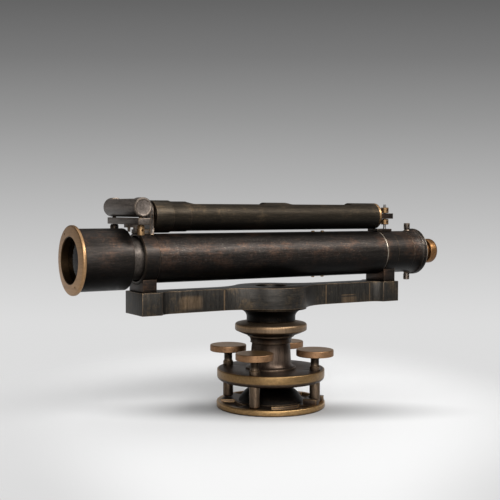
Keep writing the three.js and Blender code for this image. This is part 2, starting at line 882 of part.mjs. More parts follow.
// Rear bush, with a way through for the rack and blind holes for its screws.
function rearSlideBush() {
  const outer = mainTubeRadius - mainTubeWall - fitGap;
  const rear = rearBushFrontX + rearBushLength;
  let bush = tubeX(outer, drawTubeRearRadius + fitGap, rearBushFrontX, rear, tubeSides);
  bush = bush.subtract(block(
    [rearBushFrontX - cutOverrun, drawTubeRearRadius / 2, -rackHalfHeight - fitGap],
    [rear + cutOverrun, rackFaceY + fitGap, rackHalfHeight + fitGap],
  ));
  for (const { x, side } of bushScrewPlaces()) {
    const floor = mainTubeRadius - bushScrewDepth - fitGap;
    const hole = bar(bushScrewShankRadius + fitGap, floor, mainTubeRadius, holeSides);
    bush = bush.subtract(hole.rotate([side > 0 ? 0 : 180, 0, 0]).translate([x, 0, 0]));
  }
  return bush;
}

// Bearing boss for the pinion on the far side of the tube.
function pinionBox() {
  const edge = pinionBoxEdge;
  const bore = pinionShaftRadius + fitGap;
  const boss = turnedY([
    [bore, mainTubeRadius / 2],
    [pinionBoxRadius, mainTubeRadius / 2],
    [pinionBoxRadius, pinionBoxY - edge],
    [pinionBoxRadius - edge, pinionBoxY],
    [bore, pinionBoxY],
  ], screwSides).translate([pinionX, 0, -pinionDrop]);
  const reach = pinionBoxRadius + cutOverrun;
  return boss.subtract(barX(mainTubeRadius + fitGap, pinionX - reach, pinionX + reach, tubeSides));
}

function eyeTube() {
  const front = rightCollarRearX + fitGap;
  return tubeX(eyeTubeRadius, eyeTubeRadius - eyeTubeWall, front, eyeTubeRearX, tubeSides);
}

// Bell-shaped cap that houses the reticle and guides the eyepiece.
function eyeEndCap() {
  const front = eyeTubeRearX + fitGap;
  const chamber = eyeTubeRadius - eyeCapWall;
  const chamberEnd = eyeCapRearX - eyeCapEndWall;
  const bore = eyepieceRadius + fitGap;
  const cap = turnedX([
    [chamber, front],
    [eyeTubeRadius, front],
    ...covePoints([eyeCapRadius, eyeCapFlareX], [eyeTubeRadius, front]).reverse(),
    [eyeCapRadius, eyeCapRoundX],
    [eyeCapRadius - eyeCapEdge, eyeCapRearX],
    [eyeBossRadius, eyeCapRearX],
    [eyeBossRadius, eyeBossRearX],
    [bore, eyeBossRearX],
    [bore, chamberEnd],
    [chamber, chamberEnd],
  ], tubeSides);
  const hole = bar(
    reticleShankRadius + fitGap,
    -eyeCapRadius - cutOverrun,
    eyeCapRadius + cutOverrun,
    screwSides,
  );
  const flat = bar(reticleHeadRadius + fitGap, reticleSeat(), reticleHeadTop, screwSides);
  const lower = flat.rotate([180, 0, 0]);
  return cap
    .subtract(hole.translate([reticleX, 0, 0]))
    .subtract(flat.translate([reticleX, 0, 0]))
    .subtract(lower.translate([reticleX, 0, 0]));
}

// Height at which the reticle screws' heads bear on the cap.
function reticleSeat() {
  return eyeTubeRadius;
}

// Reticle ring, threaded on the two capstan screws.
function reticleRing() {
  const half = reticleThickness / 2;
  const ring = tubeX(reticleRadius, reticleBoreRadius, reticleX - half, reticleX + half, tubeSides);
  const reach = reticleRadius + cutOverrun;
  const hole = bar(reticleShankRadius + fitGap, -reach, reach, screwSides);
  return ring.subtract(hole.translate([reticleX, 0, 0]));
}

// Capstan screw with two cross holes in its head.
function reticleScrew() {
  const tip = reticleRadius - reticleShankDepth - reticleTravel;
  const seat = reticleSeat() + fitGap;
  const head = turned([
    [0, tip],
    [reticleShankRadius, tip],
    [reticleShankRadius, seat],
    [reticleHeadRadius, seat],
    [reticleHeadRadius - reticleHeadWaist, seat + reticleHeadWaist * 2],
    [reticleHeadRadius, seat + reticleHeadWaist * 4],
    [reticleHeadRadius, reticleHeadTop],
    [0, reticleHeadTop],
  ], screwSides);
  const reach = reticleHeadRadius + cutOverrun;
  const middle = (seat + reticleHeadWaist * 4 + reticleHeadTop) / 2;
  const hole = barX(tommyHoleRadius, -reach, reach, holeSides).translate([0, 0, middle]);
  return head.subtract(hole).subtract(hole.rotate([0, 0, 90]));
}

// Eyepiece: one turned shell with a milled rim and a small eye hole.
function eyepiece() {
  const edge = eyepieceRimEdge;
  return turnedX([
    [eyepieceBoreRadius, eyepieceFrontX],
    [eyepieceRadius, eyepieceFrontX],
    [eyepieceRadius, eyepieceFlangeFrontX],
    [eyepieceFlangeRadius, eyepieceFlangeFrontX],
    [eyepieceFlangeRadius, eyepieceFlangeRearX],
    [eyepieceRadius, eyepieceFlangeRearX],
    [eyepieceRadius, eyepieceRimFrontX],
    [eyepieceRimRadius - edge / 2, eyepieceRimFrontX],
    [eyepieceRimRadius, eyepieceRimFrontX + edge],
    [eyepieceRimRadius, eyepieceEndX - 2 * edge],
    [eyepieceFaceRadius, eyepieceEndX],
    [eyeHoleRadius + edge, eyepieceEndX],
    [eyeHoleRadius, eyepieceEndX - edge],
    [eyeHoleRadius, eyepieceEndX - eyeHoleDepth],
    [eyepieceBoreRadius, eyepieceEndX - eyeHoleDepth],
  ], tubeSides);
}

// A lens on the X axis, with each face bulged out by its own height at the middle.
function lensX(radius, front, rear, frontBulge, rearBulge) {
  const face = (place, bulge, sign) => {
    const points = [];
    for (let i = 0; i <= lensSteps; i += 1) {
      const share = i / lensSteps;
      points.push([radius * share, place + sign * bulge * (1 - share * share)]);
    }
    return points;
  };
  return turnedX([...face(front, frontBulge, -1), ...face(rear, rearBulge, 1).reverse()], tubeSides);
}

function eyeLens() {
  const rear = eyepieceEndX - eyeHoleDepth - fitGap - eyeLensThickness * lensBulgeShare;
  return lensX(
    eyepieceBoreRadius - fitGap,
    rear - eyeLensThickness,
    rear,
    0,
    eyeLensThickness * lensBulgeShare,
  );
}

function fieldLens() {
  const front = eyepieceFrontX + fieldLensInset;
  const bulge = fieldLensThickness * lensBulgeShare;
  return lensX(eyepieceBoreRadius - fitGap, front, front + fieldLensThickness, bulge, 0);
}

// Objective barrel: lens cell in front, a wall behind that takes the draw tube.
function objectiveBarrel() {
  const shelf = barrelFrontX + cellDepth;
  const wall = barrelRearX - barrelRearWall;
  const bore = drawTubeRadius + fitGap;
  return turnedX([
    [cellRadius, barrelFrontX],
    [barrelRadius, barrelFrontX],
    [barrelRadius, barrelRearX - barrelRearEdge],
    [barrelRadius - barrelRearEdge, barrelRearX],
    [bore, barrelRearX],
    [bore, wall],
    [barrelBoreRadius, wall],
    [barrelBoreRadius, shelf],
    [cellRadius, shelf],
  ], tubeSides);
}

// Brass retaining ring with two spanner holes in its face.
function retainingRing() {
  const spigot = cellRadius - fitGap;
  let ring = turnedX([
    [ringBoreRadius, ringFrontX],
    [ringRadius - ringBead, ringOuterFrontX],
    [ringRadius, ringOuterFrontX + ringBead],
    [ringRadius, ringRearX - ringBead],
    [ringRadius - ringBead, ringRearX],
    [spigot, ringRearX],
    [spigot, ringRearX + ringSpigotLength],
    [ringBoreRadius, ringRearX + ringSpigotLength],
  ], plateSides);
  for (const half of [0, 1]) {
    const angle = spannerHoleAngle + half * Math.PI;
    const hole = barX(spannerHoleRadius, ringFrontX - cutOverrun, ringFrontX + spannerHoleDepth, holeSides);
    const y = spannerHoleCircle * Math.cos(angle);
    const z = spannerHoleCircle * Math.sin(angle);
    ring = ring.subtract(hole.translate([0, y, z]));
  }
  return ring;
}

// Objective: a crown lens in front of a flint lens.
function crownLens() {
  const front = ringRearX + ringSpigotLength + fitGap;
  return lensX(cellRadius - fitGap, front, front + crownEdgeThickness, crownBulge, crownBulge);
}

function flintLens() {
  const front = ringRearX + ringSpigotLength + fitGap + crownEdgeThickness + fitGap;
  return lensX(cellRadius - fitGap, front, front + flintEdgeThickness, -crownBulge, 0);
}

// Draw tube: the wide front part shows, and the narrow rear part carries the rack.
function drawTube() {
  const rearBore = drawTubeRearRadius - drawTubeWall;
  return turnedX([
    [drawTubeRadius - drawTubeWall, drawTubeFrontX],
    [drawTubeRadius, drawTubeFrontX],
    [drawTubeRadius, drawTubeStepX],
    [drawTubeRearRadius, drawTubeStepX],
    [drawTubeRearRadius, drawTubeRearX],
    [rearBore, drawTubeRearX],
    [rearBore, drawTubeStepX - drawTubeWall],
    [drawTubeRadius - drawTubeWall, drawTubeStepX - drawTubeWall],
  ], tubeSides);
}

// Rack on the draw tube's far side, with its teeth facing down.
function focusRack() {
  const pitch = fullTurn * pinionPitchRadius / pinionTeeth;
  const low = -rackHalfHeight;
  const root = low + rackToothDepth;
  const count = Math.floor(rackLength / pitch);
  const outline = new THREE.Shape();
  outline.moveTo(0, rackHalfHeight);
  outline.lineTo(0, root);
  for (let i = 0; i < count; i += 1) {
    const start = i * pitch;
    outline.lineTo(start + pitch * toothFlankShare, low);
    outline.lineTo(start + pitch * (toothFlankShare + toothTipShare), low);
    outline.lineTo(start + pitch * (2 * toothFlankShare + toothTipShare), root);
    outline.lineTo(start + pitch, root);
  }
  outline.lineTo(count * pitch, rackHalfHeight);
  outline.closePath();
  const geometry = new THREE.ExtrudeGeometry(outline, { depth: rackFaceY - rackRootY, bevelEnabled: false });
  geometry.rotateX(quarterTurn);
  geometry.translate(rackFrontX, rackFaceY, 0);
  const tube = barX(drawTubeRearRadius + fitGap / 2, rackFrontX - cutOverrun, drawTubeRearX, tubeSides);
  return solidOf(geometry).subtract(tube);
}

// Pinion with the shaft that carries the knob, along Y.
function focusPinion() {
  const pitch = fullTurn * pinionPitchRadius / pinionTeeth;
  const root = pinionPitchRadius - rackToothDepth / 2 - fitGap;
  const tip = pinionPitchRadius + rackToothDepth / 2 - fitGap;
  const toothAngle = fullTurn / pinionTeeth;
  const phase = rackPhase(pitch) * toothAngle - quarterTurn;
  const outline = new THREE.Shape();
  for (let i = 0; i < pinionTeeth; i += 1) {
    const start = Math.PI + phase + i * toothAngle;
    const corners = [
      [root, -0.5 + toothTipShare / 2],
      [tip, -toothTipShare / 2],
      [tip, toothTipShare / 2],
      [root, 0.5 - toothTipShare / 2],
    ];
    corners.forEach(([radius, share], k) => {
      const angle = start + share * toothAngle;
      const x = radius * Math.cos(angle);
      const y = radius * Math.sin(angle);
      if (i === 0 && k === 0) outline.moveTo(x, y);
      else outline.lineTo(x, y);
    });
  }
  outline.closePath();
  const face = pinionRearY();
  const geometry = new THREE.ExtrudeGeometry(outline, { depth: face - pinionFrontY(), bevelEnabled: false });
  geometry.rotateX(quarterTurn);
  geometry.translate(0, face, 0);
  const shaftEnd = pinionBoxY + fitGap + knobNeckLength + knobBoreDepth;
  const shaft = barY(pinionShaftRadius, face - fitGap, shaftEnd, screwSides);
  return solidOf(geometry).add(shaft).translate([pinionX, 0, -pinionDrop]);
}

// Where the pinion's teeth begin and end across the tube.
function pinionFrontY() {
  return drawTubeRearRadius + fitGap;
}

function pinionRearY() {
  return rackFaceY + fitGap;
}

// Share of a tooth by which the rack's gap is off the pinion's centre.
function rackPhase(pitch) {
  const gapCentre = rackFrontX + pitch * (2 * toothFlankShare + toothTipShare + 1) / 2;
  const offset = (pinionX - gapCentre) / pitch;
  return offset - Math.round(offset);
}

function focusKnob() {
  const low = pinionBoxY + fitGap;
  const face = low + knobNeckLength;
  const high = face + knobThickness;
  const bore = pinionShaftRadius + fitGap;
  const boreEnd = face + knobBoreDepth + fitGap;
  return turnedY([
    [bore, low],
    [knobNeckRadius, low],
    [knobNeckRadius, face],
    [knobRadius - knobEdge, face],
    [knobRadius, face + knobEdge],
    [knobRadius, high - knobEdge],
    [knobRadius - knobEdge, high],
    [0, high],
    [0, boreEnd],
    [bore, boreEnd],
  ], tubeSides).translate([pinionX, 0, -pinionDrop]);
}

// Main level's tube: a ferrule and a sleeve at its left end, two windows in its top.
// Each window is round at its left end. The tube's axis is at the level's height.
function levelTube() {
  const inner = levelTubeRadius - levelTubeWall;
  const ferruleRear = levelTubeFrontX + levelFerruleLength;
  const sleeveRear = ferruleRear + levelSleeveLength;
  const tube = turnedX([
    [inner, levelTubeFrontX],
    [levelFerruleRadius, levelTubeFrontX],
    [levelFerruleRadius, ferruleRear],
    [levelSleeveRadius, ferruleRear],
    [levelSleeveRadius, sleeveRear],
    [levelTubeRadius, sleeveRear],
    [levelTubeRadius, levelTubeRearX],
    [inner, levelTubeRearX],
  ], tubeSides);
  const high = levelTubeRadius + cutOverrun;
  const half = levelWindowHalfWidth;
  const cut = (from, to) => bar(half, 0, high, screwSides)
    .translate([from + half, 0, 0])
    .add(block([from + half, -half, 0], [to, half, high]));
  return tube
    .subtract(cut(-levelWindowEndX, levelBridgeCentreX - levelBridgeHalfLength))
    .subtract(cut(levelBridgeCentreX + levelBridgeHalfLength, levelWindowEndX));
}

// Plug with a cup for the vial's end, drawn for the left end.
function levelPlug(outerX) {
  const radius = levelTubeRadius - levelTubeWall - fitGap;
  const cup = vialRadius + fitGap;
  const inner = outerX + levelPlugLength;
  return turnedX([
    [0, outerX],
    [radius, outerX],
    [radius, inner],
    [cup, inner],
    [cup, inner - levelCupDepth],
    [0, inner - levelCupDepth],
  ], tubeSides);
}

function levelHingePlug() {
  const tongue = block(
    [levelHingeX - cheekThickness / 2, -hingeTongueHalfWidth, -hingeTongueHalfHeight],
    [levelTubeFrontX + fitGap, hingeTongueHalfWidth, hingeTongueHalfHeight],
  );
  const reach = hingeTongueHalfWidth + cutOverrun;
  const hole = barY(hingePinRadius + fitGap, -reach, reach, screwSides).translate([levelHingeX, 0, 0]);
  return levelPlug(levelTubeFrontX).add(tongue).subtract(hole);
}

function levelTonguePlug() {
  const plug = levelPlug(-levelTubeRearX).rotate([0, 0, 180]);
  const ring = barX(levelTubeRadius, levelTubeRearX, levelTubeRearX + levelEndRingLength, tubeSides);
  const tongue = block(
    [levelTubeRearX, -tongueHalfWidth, -tongueHalfHeight],
    [tongueEndX, tongueHalfWidth, tongueHalfHeight],
  );
  const reach = tongueHalfHeight + cutOverrun;
  const hole = bar(studRadius + studSlack, -reach, reach, screwSides).translate([studX, 0, 0]);
  return plug.add(ring).add(tongue).subtract(hole);
}

function levelVial() {
  const inset = levelPlugLength - levelCupDepth + fitGap;
  const front = levelTubeFrontX + inset;
  const end = levelTubeRearX - inset;
  return turnedX([
    [0, front],
    [vialRadius * vialEndShare, front],
    [vialRadius, front + vialRadius * vialEndShare / 2],
    [vialRadius, end - vialRadius * vialEndShare / 2],
    [vialRadius * vialEndShare, end],
    [0, end],
  ], tubeSides);
}

function levelHingePin() {
  return barY(hingePinRadius, -cheekHalfWidth, cheekHalfWidth, screwSides);
}

// Bracket on the right collar that carries the level's stud.
function studBracket() {
  const low = studBracketTop - studBracketDepth;
  const body = block(
    [studBracketFrontX, -studBracketHalfWidth, low],
    [studBracketRearX, studBracketHalfWidth, studBracketTop],
  );
  const saddle = barX(
    rightCollarRadius + fitGap,
    studBracketFrontX - cutOverrun,
    studBracketRearX + cutOverrun,
    tubeSides,
  );
  const floor = studBracketTop - studSocketDepth;
  const socket = bar(studRadius + fitGap, floor, studBracketTop + cutOverrun, screwSides);
  const levelRoom = barX(
    levelTubeRadius + levelTiltRoom,
    studBracketFrontX - cutOverrun,
    levelTubeRearX + levelEndRingLength + levelTiltRoom,
    tubeSides,
  );
  return body
    .subtract(saddle)
    .subtract(socket.translate([studX, 0, 0]))
    .subtract(levelRoom.translate([0, 0, levelHeight]));
}

function levelStud() {
  return bar(studRadius, studBracketTop - studSocketDepth, studTop, screwSides);
}

// Capstan nut with cross holes, its underside at height zero.
function studNut() {
  const bore = studRadius + fitGap;
  const nut = turned([[bore, 0], [nutRadius, 0], [nutRadius, nutHeight], [bore, nutHeight]], screwSides);
  const reach = nutRadius + cutOverrun;
  const hole = barX(tommyHoleRadius, -reach, reach, holeSides).translate([0, 0, nutHeight / 2]);
  return nut.subtract(hole).subtract(hole.rotate([0, 0, 90]));
}

// Bracket on the left collar: a saddle with an arm under the cross level and a forked cheek.
function levelBracket() {
  const body = block(
    [bracketFrontX, -bracketHalfWidth, 0],
    [bracketRearX, bracketHalfWidth, saddleTop],
  );
  const saddle = barX(
    leftCollarRadius + fitGap,
    bracketFrontX - fitGap,
    bracketRearX + cutOverrun,
    tubeSides,
  );
  return body.add(crossLevelArm()).add(hingeCheek()).subtract(saddle);
}

// Leg and arm that carry the cross level's bar, with the head of the screw that holds it.
function crossLevelArm() {
  const leg = block(
    [legFrontX, crossY - armHalfY, saddleTop - armThickness],
    [legFrontX + legThickness, crossY + armHalfY, bracketShelf],
  );
  const arm = block(
    [armFrontX, crossY - armHalfY, bracketShelf - armThickness],
    [legFrontX + legThickness, crossY + armHalfY, bracketShelf],
  );
  const low = bracketShelf - armThickness - holdScrewReach;
  const screw = bar(holdScrewRadius, low, bracketShelf - armThickness / 2, screwSides);
  return leg.add(arm).add(screw.translate([crossX + holdScrewOffset, crossY, 0]));
}

// Upright cheek with a round top, slotted for the level's hinge tongue and drilled for its pin.
function hingeCheek() {
  const front = bracketRearX - cheekThickness;
  const middle = cheekTop - cheekHalfWidth;
  const cheek = block(
    [front, -cheekHalfWidth, mainTubeRadius / 2],
    [bracketRearX, cheekHalfWidth, middle],
  );
  const crown = barX(cheekHalfWidth, front, bracketRearX, tubeSides).translate([0, 0, middle]);
  const slotHalf = hingeTongueHalfWidth + fitGap;
  const slotReach = hingeTongueHalfHeight + studSlack;
  const slot = block(
    [front - cutOverrun, -slotHalf, levelHeight - slotReach],
    [bracketRearX + cutOverrun, slotHalf, levelHeight + slotReach],
  );
  const reach = cheekHalfWidth + cutOverrun;
  const pinHole = barY(hingePinRadius + fitGap, -reach, reach, screwSides);
  return cheek.add(crown)
    .subtract(slot)
    .subtract(pinHole.translate([levelHingeX, 0, levelHeight]));
}

// Flat bar under the cross level, with clearance holes for its two screws.
function crossLevelBar() {
  let body = block(
    [-crossBarHalfWidth, crossBarMiddleY - crossBarHalfLength, crossBarBottom],
    [crossBarHalfWidth, crossBarMiddleY + crossBarHalfLength, crossBarTop],
  );
  const hole = bar(
    crossShankRadius + fitGap,
    crossBarBottom - cutOverrun,
    crossBarTop + cutOverrun,
    screwSides,
  );
  for (const side of [-1, 1]) {
    body = body.subtract(hole.translate([0, side * crossScrewReach, 0]));
  }
  return body;
}

// Cross level's case, bored for its vial, with a window along its top.
function crossLevelTube() {
  const edge = crossTubeEdge;
  const end = crossTubeHalfLength;
  const bore = crossVialRadius + fitGap;
  const boreEnd = crossVialHalfLength + fitGap;
  const outside = turnedY([
    [0, -end],
    [crossTubeRadius - edge, -end],
    [crossTubeRadius, -end + edge],
    [crossTubeRadius, end - edge],
    [crossTubeRadius - edge, end],
    [0, end],
  ], tubeSides);
  const window = block(
    [-crossWindowHalfWidth, -crossWindowHalfLength, 0],
    [crossWindowHalfWidth, crossWindowHalfLength, crossTubeRadius + cutOverrun],
  );
  const hole = bar(
    crossShankRadius + fitGap,
    -crossTubeRadius - cutOverrun,
    -crossTubeRadius + crossShankDepth + fitGap,
    screwSides,
  );
  let tube = outside.subtract(barY(bore, -boreEnd, boreEnd, tubeSides)).subtract(window);
  for (const side of [-1, 1]) {
    tube = tube.subtract(hole.translate([0, side * crossScrewReach, 0]));
  }
  return tube;
}

function crossLevelVial() {
  return barY(crossVialRadius, -crossVialHalfLength, crossVialHalfLength, tubeSides);
}

// Hanging capstan screw of the cross level.
function crossScrew(headRadius, headHeight) {
  const seat = crossBarBottom - fitGap;
  const tip = crossTubeHeight - crossTubeRadius + crossShankDepth;
  const low = seat - headHeight;
  const screw = turned([
    [0, low],
    [headRadius, low],
    [headRadius, seat - reticleHeadWaist * 2],
    [headRadius - reticleHeadWaist, seat],
    [crossShankRadius, seat],
    [crossShankRadius, tip],
    [0, tip],
  ], screwSides);
  const reach = headRadius + cutOverrun;
  const middle = low + headHeight / 2;
  const hole = barX(tommyHoleRadius, -reach, reach, holeSides).translate([0, 0, middle]);
  return screw.subtract(hole).subtract(hole.rotate([0, 0, 90]));
}

// The levelling base, turned so that its screws stand as they do under the telescope.
function makeBase() {
  const base = new THREE.Group();
  base.rotation.z = screwLineAngle;
  piece(base, "lower_plate", lowerPlate(), bronzeWorn);
  piece(base, "ball_socket_cap", ballSocketCap(), bronze);
  const stop = piece(base, "foot_stop_block", footStopBlock(), bronzeWorn);
  stop.rotation.z = -quarterTurn;
  piece(base, "half_ball", halfBall(), brass);
  piece(base, "upper_plate", upperPlate(), bronzeWorn);
  piece(base, "column", column(), bronze);
  piece(base, "bearing_flange", bearingFlange(), brass);
  for (let i = 0; i < screwCount; i += 1) {
    const angle = i * fullTurn / screwCount;
    const place = [screwCircleRadius * Math.cos(angle), screwCircleRadius * Math.sin(angle), 0];
    const screw = piece(base, `levelling_screw_${i + 1}`, levellingScrew(), bronzeWorn, place);
    const head = piece(base, `screw_head_${i + 1}`, screwHead(), brass, place);
    screw.rotation.z = -screwLineAngle;
    head.rotation.z = -screwLineAngle;
  }
  return base;
}

// The stage bar and what turns with it on the vertical axis.
function makeStage() {
  const stage = new THREE.Group();
  piece(stage, "stage_bar", stageBar(), bronze);
  piece(stage, "limb_neck", limbNeck(), bronze);
  piece(stage, "spindle", spindle(), steel);
  piece(stage, "spindle_nut", spindleNut(), brass);
  return stage;
}

// The telescope, from the objective to the eyepiece.
function makeTelescope() {
  const scope = new THREE.Group();
  scope.position.z = telescopeHeight;
  piece(scope, "left_collar", leftCollar(), bronze);
  piece(scope, "right_collar", rightCollar(), bronze);
  piece(scope, "main_tube", mainTube(), bronze);
  piece(scope, "front_slide_bush", frontSlideBush(), brass);
  piece(scope, "rear_slide_bush", rearSlideBush(), brass);
  bushScrewPlaces().forEach(({ x, side }, index) => {
    const screw = piece(scope, `bush_screw_${index + 1}`, bushScrew(), brass, [x, 0, 0]);
    screw.rotation.x = side > 0 ? 0 : Math.PI;
  });
  piece(scope, "pinion_box", pinionBox(), bronze);
  piece(scope, "eye_tube", eyeTube(), bronze);
  piece(scope, "eye_end_cap", eyeEndCap(), bronze);
  piece(scope, "reticle_ring", reticleRing(), brass);
  piece(scope, "reticle_screw_top", reticleScrew(), bronze, [reticleX, 0, 0]);
  const lower = piece(scope, "reticle_screw_bottom", reticleScrew(), bronze, [reticleX, 0, 0]);
  lower.rotation.x = Math.PI;
  piece(scope, "eyepiece", eyepiece(), brassBright);
  piece(scope, "eye_lens", eyeLens(), glass);
  piece(scope, "field_lens", fieldLens(), glass);
  piece(scope, "objective_barrel", objectiveBarrel(), bronze);
  piece(scope, "retaining_ring", retainingRing(), brassBright);
  piece(scope, "crown_lens", crownLens(), glass);
  piece(scope, "flint_lens", flintLens(), glass);
  piece(scope, "draw_tube", drawTube(), bronzeWorn);
  piece(scope, "focus_rack", focusRack(), brass);
  piece(scope, "focus_pinion", focusPinion(), steel);
  piece(scope, "focus_knob", focusKnob(), brass);
  return scope;
}

// The main level, the cross level and their brackets, on top of the telescope.
function makeLevels() {
  const levels = new THREE.Group();
  levels.position.z = telescopeHeight;
  piece(levels, "level_bracket", levelBracket(), bronze);
  piece(levels, "stud_bracket", studBracket(), bronze);
  piece(levels, "level_stud", levelStud(), steel, [studX, 0, 0]);
  const main = new THREE.Group();
  main.position.z = levelHeight;
  levels.add(main);
  piece(main, "level_tube", levelTube(), bronze);
  piece(main, "level_hinge_plug", levelHingePlug(), brass);
  piece(main, "level_tongue_plug", levelTonguePlug(), brass);
  piece(main, "level_vial", levelVial(), spirit);
  piece(main, "level_hinge_pin", levelHingePin(), steel, [levelHingeX, 0, 0]);
  const nutLift = tongueHalfHeight + fitGap;
  piece(main, "stud_nut_upper", studNut(), brassBright, [studX, 0, nutLift]);
  piece(main, "stud_nut_lower", studNut(), brassBright, [studX, 0, -nutLift - nutHeight]);
  const cross = new THREE.Group();
  cross.position.set(crossX, crossY, 0);
  levels.add(cross);
  piece(cross, "cross_level_bar", crossLevelBar(), bronze);
  piece(cross, "cross_level_tube", crossLevelTube(), bronze, [0, 0, crossTubeHeight]);
  piece(cross, "cross_level_vial", crossLevelVial(), spirit, [0, 0, crossTubeHeight]);
  const near = crossScrew(nearHeadRadius, nearHeadHeight);
  const far = crossScrew(farHeadRadius, farHeadHeight);
  piece(cross, "cross_screw_near", near, brassBright, [0, -crossScrewReach, 0]);
  piece(cross, "cross_screw_far", far, bronze, [0, crossScrewReach, 0]);
  return levels;
}

const dumpyLevel = new THREE.Group();
dumpyLevel.add(makeBase(), makeStage(), makeTelescope(), makeLevels());

export default dumpyLevel;
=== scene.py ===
"""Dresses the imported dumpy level: smooth turned and milled pieces, aged metal, glass and a studio.

Laid out as an add-on with one operator for each group of pieces, and run as a script.
Geometry is worked out in millimetres and stored in metres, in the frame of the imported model.
"""

import math
from collections import namedtuple

import bmesh
import bpy
from mathutils import Matrix, Vector


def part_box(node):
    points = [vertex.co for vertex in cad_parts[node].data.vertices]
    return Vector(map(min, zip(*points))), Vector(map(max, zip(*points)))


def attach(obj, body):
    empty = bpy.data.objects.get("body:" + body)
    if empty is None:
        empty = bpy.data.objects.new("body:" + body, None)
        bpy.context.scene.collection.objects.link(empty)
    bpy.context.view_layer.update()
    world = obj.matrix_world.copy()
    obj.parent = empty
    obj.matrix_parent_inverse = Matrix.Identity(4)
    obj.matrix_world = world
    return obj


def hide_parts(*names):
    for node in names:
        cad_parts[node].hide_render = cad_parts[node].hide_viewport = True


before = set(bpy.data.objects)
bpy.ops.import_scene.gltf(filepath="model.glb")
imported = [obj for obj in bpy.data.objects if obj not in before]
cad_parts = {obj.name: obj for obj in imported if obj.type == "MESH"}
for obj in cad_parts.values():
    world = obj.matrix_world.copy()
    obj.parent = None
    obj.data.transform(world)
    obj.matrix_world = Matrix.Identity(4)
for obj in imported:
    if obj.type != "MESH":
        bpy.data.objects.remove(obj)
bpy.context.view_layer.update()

bl_info = {
    "name": "Dumpy level",
    "version": (1, 0, 0),
    "blender": (4, 5, 0),
    "location": "View3D > Sidebar > Level",
    "description": "Builds the finished pieces, metals and studio of a dumpy level",
    "category": "Object",
}

MM = 0.001
# Sides of turned pieces, from large ones to pins
ROUND = 96
FITTING_ROUND = 64
SMALL_ROUND = 40
PIN_ROUND = 24
DRILL_ROUND = 20
# How far a cutting tool reaches past the face that it cuts
PAST = 2.0
# Gap between neighbouring pieces
FIT = 0.3
# Levelling screws: their number, their circle and the angle of the first one
SCREWS = 4
SCREW_CIRCLE = 40.3
SCREW_LINE = math.radians(37.6)


def box_mm(node):
    """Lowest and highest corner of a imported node, in millimetres."""
    low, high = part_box(node)
    return low / MM, high / MM


def middle_mm(node):
    """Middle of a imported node's box, in millimetres."""
    low, high = box_mm(node)
    return (low + high) / 2


def radius_mm(node):
    """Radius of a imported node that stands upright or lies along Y, in millimetres."""
    low, high = box_mm(node)
    return (high.x - low.x) / 2


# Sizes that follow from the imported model
TELESCOPE_Z = round(middle_mm("main_tube").z, 3)
LEVEL_Z = round(middle_mm("level_tube").z, 3)
PLATE_TOP = box_mm("upper_plate")[1].z
PLATE_BOTTOM = box_mm("upper_plate")[0].z
LOWER_TOP = box_mm("lower_plate")[1].z
STAGE_LOW = box_mm("stage_bar")[0].z
STAGE_TOP = box_mm("stage_bar")[1].z
FLANGE_LOW = box_mm("bearing_flange")[0].z
FLANGE_TOP = box_mm("bearing_flange")[1].z
BALL_Z = 5.6
SPINDLE_SHOULDER = PLATE_TOP + 2.1
SPINDLE_BORE = 11.3
TUBE_SCREWS = 4
SHELF = STAGE_TOP - 12.5
# Seat of the telescope's tube in its collars, and the half width and the top of their feet
TUBE_SEAT = 20.3
FOOT_HALF = 13.2
FOOT_TOP = TELESCOPE_Z - 13.0
# Hole of the pin that the main level swings on
PIN_HOLE = 1.1
# Place of the cross level's arm, and how far its screws stand to each side
CROSS_X = -137.4
CROSS_Y = -2.5
CROSS_SCREWS = 25.5
CROSS_SCREW_HOLE = 1.8


# Shader maths


# How quickly a rubbed edge grows as the rounded normal leaves the plain one
EDGE_GAIN = 7.0
Spot = namedtuple("Spot", "x y z up")


class Value:
    """A shader socket that can be added, multiplied and compared like a number."""

    def __init__(self, graph, socket):
        self.graph = graph
        self.socket = socket

    def maths(self, operation, *others):
        """A maths node with this value first."""
        sources = dict(enumerate((self, *others)))
        return self.graph.node("ShaderNodeMath", {"operation": operation}, sources)

    def __add__(self, other):
        return self.maths("ADD", other)

    __radd__ = __add__

    def __sub__(self, other):
        return self.maths("SUBTRACT", other)

    def __rsub__(self, other):
        return self.graph.node("ShaderNodeMath", {"operation": "SUBTRACT"}, {0: other, 1: self})

    def __mul__(self, other):
        return self.maths("MULTIPLY", other)

    __rmul__ = __mul__

    def __truediv__(self, other):
        return self.maths("DIVIDE", other)

    def __abs__(self):
        return self.maths("ABSOLUTE")

    def clamp(self):
        return self.graph.node("ShaderNodeClamp", {}, {"Value": self})

    def smooth(self, low, high):
        """0 below low, 1 above high, and a soft step between."""
        settings = {"interpolation_type": "SMOOTHSTEP"}
        return self.graph.node("ShaderNodeMapRange", settings, {"Value": self, 1: low, 2: high})


